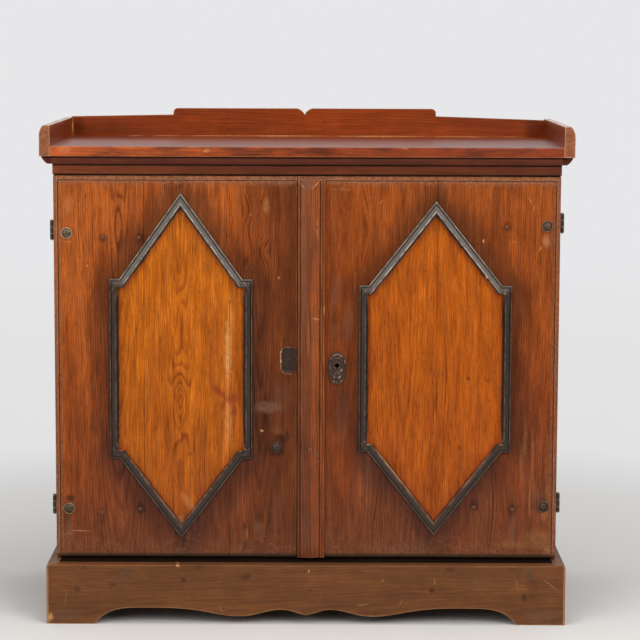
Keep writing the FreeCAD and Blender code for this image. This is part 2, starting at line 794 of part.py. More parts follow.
def make_strip():
    z0 = door_bottom - strip_bottom_gap
    z1 = door_top - strip_top_gap
    face = outline_face(strip_section(), lambda x, h: Vec(x, door_face - h, z0))
    strip = face.extrude(Vec(0, 0, z1 - z0))
    low = door_face - strip_shoulder + 0.4
    high = door_face - strip_ridge - 0.2
    hip = outline_face([(low, z1 + 1), (low, z1), (high, z1 - strip_hip), (high - 9, z1 - strip_hip),
                        (high - 9, z1 + 1)], lambda a, b: Vec(meeting_x - 1, a, b))
    strip = strip.cut(hip.extrude(Vec(strip_width + 2, 0, 0)))
    nails = []
    for inset, rise in strip_nails:
        x, z = meeting_x + inset, door_bottom + rise
        top = door_face - strip_height(x) + 0.5
        hole = cylinder_y(x, z, nail_shank + shank_clear, top - 9, door_face + 1)
        seat = cylinder_y(x, z, strip_nail_radius + shank_clear, top - 9, top)
        strip = strip.cut([hole, seat])
        nails.append(nail(x, z, top, strip_nail_radius, strip_height(x) - 0.6))
    parts["closing_strip"] = strip
    parts["strip_nails"] = Part.Compound(nails)


# ---- lock ----

def ellipse_disc(half_w, half_h, z, y0, y1):
    centre = Vec(key_x, y0, z)
    curve = Part.Ellipse(Vec(key_x, y0, z + half_h), Vec(key_x + half_w, y0, z), centre)
    return Part.Face(Part.Wire(curve.toShape())).extrude(Vec(0, y1 - y0, 0))


def make_lock():
    plate_z = key_z - plate_drop
    plate = ellipse_disc(plate_half_width, plate_half_height, plate_z, key_y, door_face)
    rim = ellipse_disc(plate_half_width, plate_half_height, plate_z, key_y - plate_rim_height,
                       key_y)
    rim = rim.cut(ellipse_disc(plate_half_width - plate_rim, plate_half_height - plate_rim,
                               plate_z, key_y - plate_rim_height - 1, key_y + 1))
    plate = plate.fuse(rim)
    parts["escutcheon"] = plate.cut(key_cutter(key_y - 5, door_face + 1))

    case_x = meeting_x + case_left
    case_z = key_z - case_below
    case = box(case_x, case_x + case_width, door_back, door_back + case_depth,
               case_z, case_z + case_height)
    case = case.cut(key_cutter(door_back - 1, door_back + key_depth_in_case))
    bolt_z = key_z + bolt_above_key
    bolt_y = door_back + bolt_depth
    bolt_x = case_x + bolt_inset
    tunnel = box(case_x - 1, bolt_x + bolt_length + 2, bolt_y - bolt_clear,
                 bolt_y + bolt_thickness + bolt_clear, bolt_z - bolt_clear,
                 bolt_z + bolt_height + bolt_clear)
    parts["lock_case"] = case.cut(tunnel)
    bolt = box(bolt_x, bolt_x + bolt_length, bolt_y, bolt_y + bolt_thickness,
               bolt_z, bolt_z + bolt_height)
    parts["lock_bolt"] = bolt

    right = left_meet - keeper_edge
    left = right - keeper_width
    keeper = box(left, right, door_back, bolt_y + bolt_thickness + keeper_clear + keeper_wall,
                 bolt_z - keeper_clear - keeper_end, bolt_z + bolt_height + keeper_clear + keeper_end)
    pocket = box(left + keeper_end, right + 1, bolt_y - keeper_clear,
                 bolt_y + bolt_thickness + keeper_clear, bolt_z - keeper_clear,
                 bolt_z + bolt_height + keeper_clear)
    parts["lock_keeper"] = keeper.cut(pocket)

    right = left_meet - keeper_plate_edge
    left = right - keeper_plate_width
    low = key_z - keeper_plate_below
    high = low + keeper_plate_height
    r = keeper_plate_corner
    bend = r * (1 - math.sqrt(0.5))
    steps = [(right, low), (right, high), (left + r, high), (left + bend, high - bend, left, high - r),
             (left, low + r), (left + bend, low + bend, left + r, low)]
    face = outline_face(steps, lambda a, b: Vec(a, door_face - keeper_plate_thickness, b))
    parts["keeper_plate"] = face.extrude(Vec(0, keeper_plate_thickness, 0))


# ---- turn button ----

def make_button():
    y0 = door_back + button_standoff
    y1 = y0 + button_thickness
    half = button_height / 2
    tip = button_z - button_length
    steps = [(button_x - half, button_z), (button_x, button_z + half, button_x + half, button_z),
             (button_x + half, tip + half), (button_x, tip, button_x - half, tip + half)]
    face = outline_face(steps, lambda a, b: Vec(a, y0, b))
    arm = face.extrude(Vec(0, button_thickness, 0))
    parts["turn_button"] = arm.cut(cylinder_y(button_x, button_z, pivot_radius + button_bore_clear,
                                              y0 - 1, y1 + 1))
    collar = cylinder_y(button_x, button_z, pivot_collar, door_back, y0 - button_side_clear)
    shank = cylinder_y(button_x, button_z, pivot_radius, door_face, y1 + button_side_clear)
    head = cylinder_y(button_x, button_z, pivot_head, y1 + button_side_clear,
                      y1 + button_side_clear + pivot_head_thickness)
    boss = dome_y(button_x, button_z, boss_radius, boss_dome, door_face)
    parts["button_pivot"] = boss.fuse([shank, collar, head])

    x1 = button_x - catch_offset + catch_width / 2
    x0 = x1 - catch_width
    web_z = lower_shelf_top
    top_z = web_z + catch_metal
    lip_y = y0 - catch_lip_clear - catch_metal
    shelf_front = carcase_front + shelf_setback
    web = box(x0, x1, lip_y, shelf_front, web_z, top_z)
    lip = box(x0, x1, lip_y, lip_y + catch_metal, top_z - catch_lip_drop, web_z + 1)
    plate = box(x0, x1, shelf_front - catch_metal, shelf_front, top_z - catch_plate, web_z + 1)
    parts["button_catch"] = web.fuse([lip, plate]).removeSplitter()


make_plinth()
make_carcase()
make_shelves()
make_top()
make_cornice()
make_hinges()
make_doors()
make_strip()
make_lock()
make_button()

os.makedirs("parts", exist_ok=True)
for name, shape in parts.items():
    shape.exportStep("parts/%s.step" % name)
    state = "ok" if shape.isValid() else "NOT VALID"
    print("%-26s solids %2d  volume %10.1f cm3  %s" % (name, len(shape.Solids),
                                                     shape.Volume / 1000, state))
print("%d nodes" % len(parts))
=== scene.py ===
import math
import bmesh
import bpy
from mathutils import Matrix, Vector


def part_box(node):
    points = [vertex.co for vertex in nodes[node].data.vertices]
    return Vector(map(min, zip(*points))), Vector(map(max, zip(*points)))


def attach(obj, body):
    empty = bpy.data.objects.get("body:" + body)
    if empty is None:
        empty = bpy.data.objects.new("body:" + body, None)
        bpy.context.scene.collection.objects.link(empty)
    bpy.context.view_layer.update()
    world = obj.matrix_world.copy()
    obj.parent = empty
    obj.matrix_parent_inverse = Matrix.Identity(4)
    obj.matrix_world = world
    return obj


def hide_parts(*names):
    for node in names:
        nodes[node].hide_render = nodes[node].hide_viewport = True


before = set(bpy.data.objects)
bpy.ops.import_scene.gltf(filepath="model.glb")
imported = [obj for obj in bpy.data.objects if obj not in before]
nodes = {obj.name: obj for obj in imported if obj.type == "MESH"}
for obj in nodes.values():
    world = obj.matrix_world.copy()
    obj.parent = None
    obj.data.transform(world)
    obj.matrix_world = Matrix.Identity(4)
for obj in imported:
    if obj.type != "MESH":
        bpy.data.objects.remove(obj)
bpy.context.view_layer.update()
print("cupboard: frame loaded,", len(nodes), "parts")


def tone(red, green, blue):
    # a colour picked on a 0-255 screen scale, made linear
    return [((c / 255 + 0.055) / 1.055) ** 2.4 if c > 10 else c / 255 / 12.92
            for c in (red, green, blue)] + [1.0]


class Net:
    def __init__(self, tree):
        self.tree = tree

    def put(self, socket, value):
        if value is None:
            return
        if isinstance(value, bpy.types.NodeSocket):
            self.tree.links.new(value, socket)
        else:
            socket.default_value = value

    def add(self, kind, inputs=None, **settings):
        made = self.tree.nodes.new("ShaderNode" + kind)
        for key, value in settings.items():
            setattr(made, key, value)
        for key, value in (inputs or {}).items():
            self.put(made.inputs[key], value)
        return made

    def calc(self, operation, *values):
        return self.add("Math", dict(enumerate(values)), operation=operation).outputs[0]

    def times(self, *values):   # a third value is added
        return self.calc("MULTIPLY_ADD" if len(values) == 3 else "MULTIPLY", *values)

    def plus(self, first, second):
        return self.calc("ADD", first, second)

    def less(self, first, second):
        return self.calc("SUBTRACT", first, second)

    def larger(self, first, second):
        return self.calc("MAXIMUM", first, second)

    def apart(self, first, second):
        return self.calc("ABSOLUTE", self.less(first, second))

    def vector(self, operation, *values):
        made = self.add("VectorMath", dict(enumerate(values)), operation=operation)
        return made.outputs["Value" if operation == "LENGTH" else "Vector"]

    def ease(self, value, start, end, low=0.0, high=1.0):
        made = self.add("MapRange", {0: value, 1: start, 2: end, 3: low, 4: high},
                        interpolation_type="SMOOTHSTEP")
        return made.outputs[0]

    def slide(self, value, start, end, low=0.0, high=1.0):
        return self.add("MapRange", {0: value, 1: start, 2: end, 3: low, 4: high}).outputs[0]

    def mix(self, factor, first, second, blend="MIX"):
        made = self.add("Mix", None, data_type="RGBA", blend_type=blend)
        for index, value in ((0, factor), (6, first), (7, second)):
            self.put(made.inputs[index], value)
        return made.outputs[2]

    def between(self, factor, first, second):   # two screen colours
        return self.mix(factor, tone(*first), tone(*second))

    def tint(self, colour, factor):   # a colour multiplied by another
        if isinstance(factor, tuple):
            factor = (*factor[:3], 1)
        return self.mix(1.0, colour, factor, "MULTIPLY")

    def deepen(self, colour, mask, factor, share=None):   # tinted where the mask says
        mask = mask if share is None else self.times(mask, share)
        return self.mix(mask, colour, self.tint(colour, factor))

    def cover(self, colour, mask, shade, share=None):   # a screen colour laid over where the mask says
        mask = mask if share is None else self.times(mask, share)
        return self.mix(mask, colour, tone(*shade))

    def noise(self, place, scale, detail=2.0, rough=0.5):   # scale is per mm, one or three numbers
        stretched = self.vector("MULTIPLY", place, scale if isinstance(scale, tuple) else (scale,) * 3)
        made = self.add("TexNoise",
                        {"Vector": stretched, "Scale": 1.0, "Detail": detail, "Roughness": rough})
        return made.outputs[0]

    def ramp(self, value, stops):
        made = self.add("ValToRGB", {0: value})
        bar = made.color_ramp
        while len(bar.elements) < len(stops):
            bar.elements.new(0.5)
        for element, (spot, colour) in zip(bar.elements, stops):
            element.position = spot
            element.color = tone(*colour)
        return made.outputs[0]

    def group(self, tree, **inputs):
        return self.add("Group", inputs, node_tree=tree).outputs

    def split(self, place):
        return self.add("SeparateXYZ", {0: place}).outputs

    def join(self, x, y, z):
        return self.add("CombineXYZ", {0: x, 1: y, 2: z}).outputs[0]

    def spot(self, parts, x, z, halfWidth, halfHeight, turn=0.0):
        # distance from a mark's centre seen from the front, 1 on its rim; plain sums, because a
        # shader has room for few vectors at a time
        cos, sin = math.cos(math.radians(turn)), math.sin(math.radians(turn))
        sums = []
        for ofX, ofZ, half in ((cos, -sin, halfWidth), (sin, cos, halfHeight)):
            value = -(x * ofX + z * ofZ) / half
            for source, share in ((parts[0], ofX), (parts[2], ofZ)):
                if abs(share) > 1e-6:
                    value = self.times(source, share / half, value)
            sums.append(value)
        square = self.times(sums[0], sums[0])
        return self.calc("SQRT", self.times(sums[1], sums[1], square))


def newGroup(name, inputs, outputs):
    tree = bpy.data.node_groups.new(name, "ShaderNodeTree")
    for label, kind in inputs.items():
        tree.interface.new_socket(label, in_out="INPUT", socket_type="NodeSocket" + kind)
    for label in outputs:
        tree.interface.new_socket(label, in_out="OUTPUT", socket_type="NodeSocketFloat")
    net = Net(tree)
    return tree, net, tree.nodes.new("NodeGroupInput").outputs, tree.nodes.new("NodeGroupOutput").inputs


# Growth rings, shared by every board. Place is in mm with the grain along its third axis. Heart is
# where the tree's middle passes the board, Rise how fast it comes nearer along the board, Extra adds
# rings to draw a figure.

def buildTimber():
    tree, net, into, out = newGroup("growthRings",
                                    {"Place": "Vector", "Heart": "Vector", "Rise": "Float",
                                     "Spacing": "Float", "Extra": "Float", "Wander": "Float"},
                                    ["Late", "Fibre", "Streak", "Line", "Broad", "Fleck"])
    place = into["Place"]
    slow = net.noise(place, (0.007, 0.007, 0.0012), 2)
    quick = net.noise(place, (0.045, 0.045, 0.005), 2)
    x, y, z = net.split(net.vector("SUBTRACT", place, into["Heart"]))
    depth = net.times(z, into["Rise"], y)
    reach = net.calc("SQRT", net.plus(net.times(x, x), net.times(depth, depth)))
    rings = net.calc("DIVIDE", reach, into["Spacing"])
    rings = net.times(slow, into["Wander"], rings)
    rings = net.times(quick, 1.5, rings)
    rings = net.plus(rings, into["Extra"])
    part = net.calc("FRACT", rings)
    each = net.add("TexWhiteNoise", {"W": net.calc("FLOOR", rings)}, noise_dimensions="1D").outputs[0]
    late = net.times(net.ease(part, 0.42, 0.84), net.ease(part, 1.0, 0.93))
    broken = net.ease(net.noise(place, (0.1, 0.1, 0.012), 2, 0.6), 0.28, 0.58, 0.5, 1)
    late = net.times(late, broken)
    net.put(out["Late"], net.times(late, net.slide(each, 0, 1, 0.45, 1)))
    # fibres drift a little sideways along the board
    drift = net.add("TexNoise",
                    {"Vector": net.vector("MULTIPLY", place, (0.02, 0.02, 0.0035)), "Scale": 1.0,
                     "Detail": 2.0})
    drifted = net.vector("MULTIPLY_ADD", drift.outputs[1], (16, 16, 0), place)
    net.put(out["Fibre"], net.noise(drifted, (0.55, 0.55, 0.026), 4, 0.72))
    net.put(out["Streak"], net.noise(drifted, (0.12, 0.12, 0.0085), 4, 0.65))
    net.put(out["Line"], net.ease(net.noise(drifted, (0.27, 0.27, 0.012), 3, 0.65), 0.57, 0.70))
    net.put(out["Broad"], net.noise(place, (0.02, 0.02, 0.0028), 2))
    net.put(out["Fleck"], net.ease(net.noise(place, (0.6, 0.6, 0.07), 1), 0.66, 0.74))
    return tree


timber = buildTimber()


# Marks are listed by kind. A row is x, z, half width, half height (mm), turn (degrees, clockwise from
# the front) and strength.

def gatherMarks(net, place, marks, kinds):
    # one mask for each kind, with ragged rims
    ragged = net.add("TexNoise", {"Vector": place, "Scale": 0.11, "Detail": 3.0}).outputs[1]
    shift = net.vector("MULTIPLY_ADD", ragged, (9, 9, 9), (-4.5, -4.5, -4.5))
    moved = net.split(net.vector("ADD", place, shift))
    fine = net.split(net.vector("MULTIPLY_ADD", shift, (0.16, 0.16, 0.16), place))
    found = {}
    for kind, rows in marks.items():
        for x, z, halfWidth, halfHeight, turn, strength in rows:
            source = fine if min(halfWidth, halfHeight) < 4 else moved
            reach = net.spot(source, x, z, halfWidth, halfHeight, turn)
            mask = net.ease(reach, 1.15, 0.35, 0, strength)
            found[kind] = net.larger(found[kind], mask) if kind in found else mask
    grain = net.noise(place, (0.45, 0.45, 0.12), 3, 0.7)
    for kind in found:
        if kind in ("pale", "grey"):   # broken up along the grain
            found[kind] = net.times(found[kind], net.ease(grain, 0.34, 0.6, 0.25, 1))
    return {kind: found.get(kind, 0.0) for kind in kinds}


# the long hexagon on each door in mm: centre, half width, tips, where the ears begin, and the joints
# between the door's boards
leftField = dict(
    centre=-261.0, half=148.5, top=897.0, topEar=718.0, foot=172.5, footEar=341.0, ear=20.5,
    joints=(-338.0, -160.0))
rightField = dict(
    centre=267.0, half=158.5, top=881.5, topEar=706.0, foot=179.5, footEar=356.0, ear=19.5,
    joints=(271.0,))


def fieldDistance(net, place, field):
    # mm outside the moulding's outer outline, negative inside it
    x, y, z = net.split(place)
    across = net.apart(x, field["centre"])
    run = field["half"] - field["ear"]
    sides = net.less(across, field["half"])
    for tip, ear in ((field["top"], field["topEar"]), (field["foot"], field["footEar"])):
        rise = abs(tip - ear)
        size = math.hypot(run, rise)
        sign = 1 if tip > ear else -1
        slant = net.times(net.less(z, tip), sign * run / size)
        slant = net.times(across, rise / size, slant)
        sides = net.larger(sides, slant)
    return sides


leftDoorMarks = {
    "dark": [(-262, 424, 3, 15, 0, 0.7), (-260, 391, 3, 9, 0, 0.8), (-354, 580, 0.9, 98, 3, 0.6),
        (-341, 640, 0.8, 40, 2, 0.3), (-422, 803, 12, 12, 0, 0.75), (-347, 801, 12, 16, 0, 0.75),
        (-429, 215, 10, 26, 0, 0.6), (-346, 234, 14, 15, 0, 0.8), (-428, 170, 4, 34, 0, 0.35),
        (-40, 581, 14, 4, 0, 0.4), (-52, 383, 17, 13, 30, 1.0), (-39, 391, 5, 18, 0, 1.0),
        (-61, 362, 22, 24, 0, 0.95), (-62, 310, 9, 52, 0, 0.38), (-494, 256, 12, 9, 0, 1.0),
        (-503, 222, 9, 30, 0, 0.6), (-497, 236, 19, 20, 0, 0.5), (-497, 813, 17, 17, 0, 0.5),
        # the rows at x -38 and -36 darken the band beside the closing strip: painted shadow of the strip,
        # with dirt
        (-389, 842, 9, 60, 0, 0.3), (-351, 640, 5, 90, 0, 0.16), (-38, 560, 20, 330, 0, 0.35),
        (-36, 880, 22, 40, 0, 0.3), (-446, 700, 12, 60, 0, 0.12), (-429, 480, 3, 4, 0, 0.5)],
    "pale": [(-163, 565, 8, 90, 0, 0.8), (-160, 640, 6, 60, 0, 0.35), (-163, 425, 8, 80, 1, 0.5),
        (-473, 186, 27, 1.3, 2, 0.55), (-497, 180, 12, 1.2, -6, 0.4), (-497, 795, 12, 3, 0, 0.2),
        (-58, 721, 3, 3, 0, 0.6), (-93, 400, 4.5, 3, 20, 0.95), (-117, 852, 3, 3, 0, 0.3),
        (-492, 872, 12, 26, 12, 0.22), (-455, 745, 3, 3, 0, 0.4), (-124, 181, 1.5, 22, 0, 0.35),
        (-232, 222, 3, 8, 0, 0.3), (-84, 870, 8, 20, 0, 0.22), (-246, 246, 10, 30, -35, 0.3),
        (-263, 206, 12, 16, 0, 0.35)],
    "red": [(-181, 481, 8, 25, -43, 1.0), (-154, 468, 14, 16, 0, 1.0), (-151, 443, 8, 20, -6, 1.0),
        (-175, 453, 8, 11, 0, 0.8), (-149, 420, 4, 22, 0, 0.5), (-165, 466, 10, 9, -40, 0.7),
        (-159, 669, 4, 5, 0, 0.8)],
    # chips ringing the keeper plate: painted highlight of the plate's rim on the door
    "chip": [(-52.6, 567, 1.7, 6, 30, 1.0), (-46.5, 573.6, 6, 1.4, -22, 0.8),
        (-37, 576.0, 6, 1.2, -4, 0.4), (-53.4, 547, 2.0, 5.5, 0, 1.0), (-54.0, 557, 1.3, 6, 0, 0.65),
        (-53.6, 535, 1.3, 8, -4, 0.4), (-49.4, 524.0, 1.2, 6, -42, 0.4), (-38, 520.2, 9, 1.0, 8, 0.35)],
    "grey": [(-80, 450, 38, 15, 0, 0.75), (-52, 470, 26, 40, 0, 0.25), (-62, 400, 16, 10, 20, 0.3),
        (-61, 230, 9, 46, 0, 0.3), (-498, 180, 10, 46, 0, 0.5), (-472, 668, 9, 20, 0, 0.3),
        (-102, 196, 11, 17, 0, 0.45)],
}
rightDoorMarks = {
    "dark": [(270.6, 903, 0.9, 26, 0, 0.7), (266.5, 160, 2.2, 22, 0, 0.75), (337, 512, 7, 4.5, 25, 0.75),
        (376, 508, 7, 4, -15, 0.5), (371, 512, 3, 7, 0, 0.4), (229, 454, 4, 12, -18, 0.45),
        (193, 511, 2.5, 5, 0, 0.5), (319, 366, 6, 6, 0, 0.55), (309, 384, 5, 5, 0, 0.4),
        (380, 465, 4, 5, 0, 0.45), (262, 270, 9, 42, 0, 0.22), (269, 470, 7, 45, 0, 0.3),
        (498, 829, 18, 18, 0, 0.5), (494, 247, 22, 26, 0, 0.7), (431, 235, 12, 18, 0, 0.8),
        (352, 243, 13, 14, 0, 0.8), (413, 828, 12, 14, 0, 0.75), (414, 872, 3, 40, 0, 0.3),
        (410, 790, 12, 60, 0, 0.22), (66, 446, 27, 62, 0, 0.5), (60, 530, 28, 44, 0, 0.4),
        (437, 905, 18, 26, 0, 0.2)],
    "pale": [(153, 879, 1.2, 6, 35, 0.8), (460, 884, 1.1, 12, -28, 0.7), (468, 868, 1.1, 8, 10, 0.6),
        (365, 799, 2.4, 5.5, 0, 0.95), (482, 782, 2, 7, 20, 0.6), (429, 797, 8, 1.3, 4, 0.5),
        (495, 799, 9, 15, -12, 0.32), (499, 225, 10, 16, 0, 0.2), (487, 172, 34, 26, 0, 0.17),
        (440, 160, 50, 12, 0, 0.12), (505, 300, 7, 100, 0, 0.1), (508, 150, 12, 12, 0, 0.3),
        (468, 250, 2, 45, 0, 0.22), (457, 380, 6, 50, 1, 0.15), (473, 350, 4, 70, 0, 0.13),
        (449, 330, 3, 50, 0, 0.13), (70, 905, 26, 4, 0, 0.15)],
    "grey": [(498, 798, 9, 25, 0, 0.5), (488, 262, 16, 18, 0, 0.3), (432, 185, 7, 42, 0, 0.5),
        (397, 225, 7, 8, 0, 0.3), (74, 430, 20, 60, 0, 0.22), (62, 690, 14, 40, 10, 0.3),
        (86, 626, 12, 48, 4, 0.32), (60, 610, 10, 20, 0, 0.25), (128, 300, 20, 60, 0, 0.18),
        (200, 150, 60, 12, 0, 0.25)],
}


def buildDoorFinish(name, field, marks):
    tree, net, into, out = newGroup(name, {"Place": "Vector"},
                                    ["Field", "Halo", "Rim", "Brush", "dark", "grey", "pale", "red",
                                     "chip", "Head", "Foot", "Dust", "Joint"])
    place = into["Place"]
    reach = fieldDistance(net, place, field)
    smoke = net.noise(place, (0.02, 0.02, 0.007), 3, 0.6)
    net.put(out["Field"], net.ease(reach, -6, -9))
    away = net.times(smoke, -80.0, reach)
    net.put(out["Halo"], net.ease(away, 26, -34))
    # painted shadow that the moulding casts on the field: a ragged dark band just inside its inner edge
    shadowBand = net.times(net.noise(place, 0.06, 3, 0.7), -5.0, reach)
    shadowBand = net.times(net.ease(shadowBand, -22.6, -20.6), net.ease(reach, -8, -12))
    for ear in (field["topEar"] - 14, field["footEar"] + 14):   # the painted shadow leaves the ears' inner corners
        apart = net.apart(net.split(place)[2], ear)
        shadowBand = net.times(shadowBand, net.ease(apart, 20, 30))
    net.put(out["Brush"], net.times(shadowBand, 0.85))
    net.put(out["Rim"], net.ease(net.times(smoke, -16.0, reach), -46, -21))
    for kind, value in gatherMarks(net, place, marks, ("dark", "grey", "pale", "red", "chip")).items():
        net.put(out[kind], value)
    x, y, z = net.split(place)
    ragged = net.noise(place, 0.05, 5, 0.65)
    lift = net.times(ragged, 46.0, z)
    net.put(out["Head"], net.ease(lift, 930, 948))
    low = net.times(ragged, -120.0, z)
    net.put(out["Foot"], net.ease(low, 130, 60))
    specks = net.noise(place, (0.55, 0.55, 0.4), 2, 0.7)
    patch = net.noise(place, 0.018, 2)
    thinned = net.times(patch, 0.34, specks)
    low = net.ease(z, 420, 150, 0, 0.06)
    net.put(out["Dust"], net.ease(net.plus(thinned, low), 0.93, 0.99))
    gap = 99.0
    for joint in field["joints"]:
        gap = net.calc("MINIMUM", net.apart(x, joint), gap)
    net.put(out["Joint"], gap)
    return tree


doorFinish = {
    "left": buildDoorFinish("leftDoorFinish", leftField, leftDoorMarks),
    "right": buildDoorFinish("rightDoorFinish", rightField, rightDoorMarks),
}


def newMaterial(name, gloss=0.5, metal=0.0):
    material = bpy.data.materials.new(name)
    material.use_nodes = True
    net = Net(material.node_tree)
    shader = material.node_tree.nodes["Principled BSDF"]
    shader.inputs["Specular IOR Level"].default_value = gloss
    shader.inputs["Metallic"].default_value = metal
    return material, net, shader


def millimetres(net):
    return net.vector("MULTIPLY", net.add("TexCoord").outputs["Object"], (1000, 1000, 1000))


def convexEdge(net, reach=0.004):
    # 0 on a flat face, towards 1 on a sharp outer edge
    inner = net.add("AmbientOcclusion", {"Distance": reach}, samples=8, inside=True, only_local=True)
    return net.slide(inner.outputs["AO"], 1.0, 0.45)


def cornerShade(net, reach=0.014):
    # painted shade: 0 in the open, towards 1 down in a corner or a groove
    outer = net.add("AmbientOcclusion", {"Distance": reach}, samples=8, only_local=True)
    return net.slide(outer.outputs["AO"], 1.0, 0.35)


def closeMaterial(net, shader, colour, rough, height, rounding=0.0012):
    # height is in mm, the rounding of edges in metres
    soft = net.add("Bevel", {"Radius": rounding}, samples=4).outputs[0]
    bump = net.add("Bump", {"Strength": 1.0, "Distance": 0.001, "Height": height, "Normal": soft})
    net.put(shader.inputs["Base Color"], colour)
    net.put(shader.inputs["Roughness"], rough)
    net.put(shader.inputs["Normal"], bump.outputs[0])


def giveFinish(nodeName, material):
    nodes[nodeName].data.materials.clear()
    nodes[nodeName].data.materials.append(material)


# which way the grain runs: across, into and along the board
turns = {"upright": "xyz", "level": "zyx", "sideUpright": "yxz", "sideLevel": "zxy", "topLevel": "yzx"}


def grainOf(net, place, board):
    parts = dict(zip("xyz", net.split(place)))
    order = turns[board["grain"]]
    turned = net.join(*[parts[letter] for letter in order])
    seed = board.get("seed", 0)
    if seed:
        turned = net.vector("ADD", turned, (seed * 1.7, 0, seed * 311.0))
    extra, figure = 0.0, 0.0
    for x, z, halfWidth, halfHeight, rings in board.get("figures", []):
        reach = net.spot(net.split(place), x, z, halfWidth, halfHeight)
        bell = net.calc("EXPONENT", net.times(net.times(reach, reach), -1.0))
        extra = net.times(bell, float(rings), extra)
        figure = net.larger(figure, net.ease(reach, 1.6, 0.8))
    heart = board["heart"]
    if seed:
        heart = (heart[0] + seed * 1.7, heart[1], heart[2] + seed * 311.0)
    made = net.group(timber, Place=turned, Heart=heart, Rise=board["rise"], Spacing=board["spacing"],
                     Extra=extra, Wander=board["wander"])
    return dict({each.name: each for each in made}, Figure=figure)


def woodHeight(net, grain, ridge=0.10, fibre=0.10):
    height = net.times(grain["Late"], ridge)
    height = net.times(grain["Fibre"], fibre, height)
    return net.times(grain["Fleck"], -0.08, height)


# Each door's stain from the foot up, outside and inside the hexagon, where it is lit, where painted shade
# and dirt darken it beside the closing strip, and how dark its joints are.
doorSides = {
    "left": dict(
        stain=[(0.0, (112, 56, 24)), (0.2, (119, 58, 24)), (0.5, (134, 63, 18)), (0.8, (150, 72, 18)),
               (1.0, (164, 82, 24))],
        field=[(0.0, (154, 75, 14)), (0.3, (167, 85, 8)), (0.6, (176, 91, 6)), (1.0, (186, 100, 12))],
        lit=(-400, -470, 0, 0.24), stripShadeAndDirt=(-170, -60, 0, 0.75), joint=0.15),
    "right": dict(
        stain=[(0.0, (116, 59, 26)), (0.2, (118, 57, 24)), (0.5, (129, 58, 14)), (0.8, (140, 66, 14)),
               (1.0, (152, 74, 18))],
        field=[(0.0, (152, 71, 10)), (0.3, (162, 77, 5)), (0.6, (169, 82, 3)), (1.0, (172, 86, 8))],
        lit=(430, 500, 0, 0.06), stripShadeAndDirt=(110, 40, 0, 0.3), joint=0.22),
}
doorLook = dict(
    front=(-176, -178), span=(133, 931), head=(912, 920), bead=(506, 513), bevelTop=(141.5, 138.5),
    gloss=0.22, rough=(0.28, 0.42), backRough=0.72, stripShadeAndDirt=(100, 48, 15), halo=(0.5, 0.52, 0.8),
    rim=(0.78, 0.56, 0.5), rimShare=0.6, mouldShadowTone=(26, 18, 14), stainRings=(0.42, 0.32, 0.3),
    fieldRings=(0.55, 0.38, 0.22), line=(0.5, 0.42, 0.36), lines=0.46, dash=(0.55, 0.44, 0.4),
    fleck=(66, 28, 10), dark=(0.28, 0.27, 0.32), darkShare=0.85, grey=(112, 80, 64), pale=(212, 152, 92),
    red=(126, 46, 20), redShare=0.72, chip=(206, 160, 132), rubbed=((104, 60, 36), (156, 104, 72)),
    dust=(196, 146, 100), dustShare=0.5, edge=(172, 124, 90), edgeShare=0.65, groove=(46, 25, 14),
    seam=(40, 22, 14), bevel=(108, 96, 78), bevelShare=0.6, bare=((168, 112, 64), (126, 78, 42)))


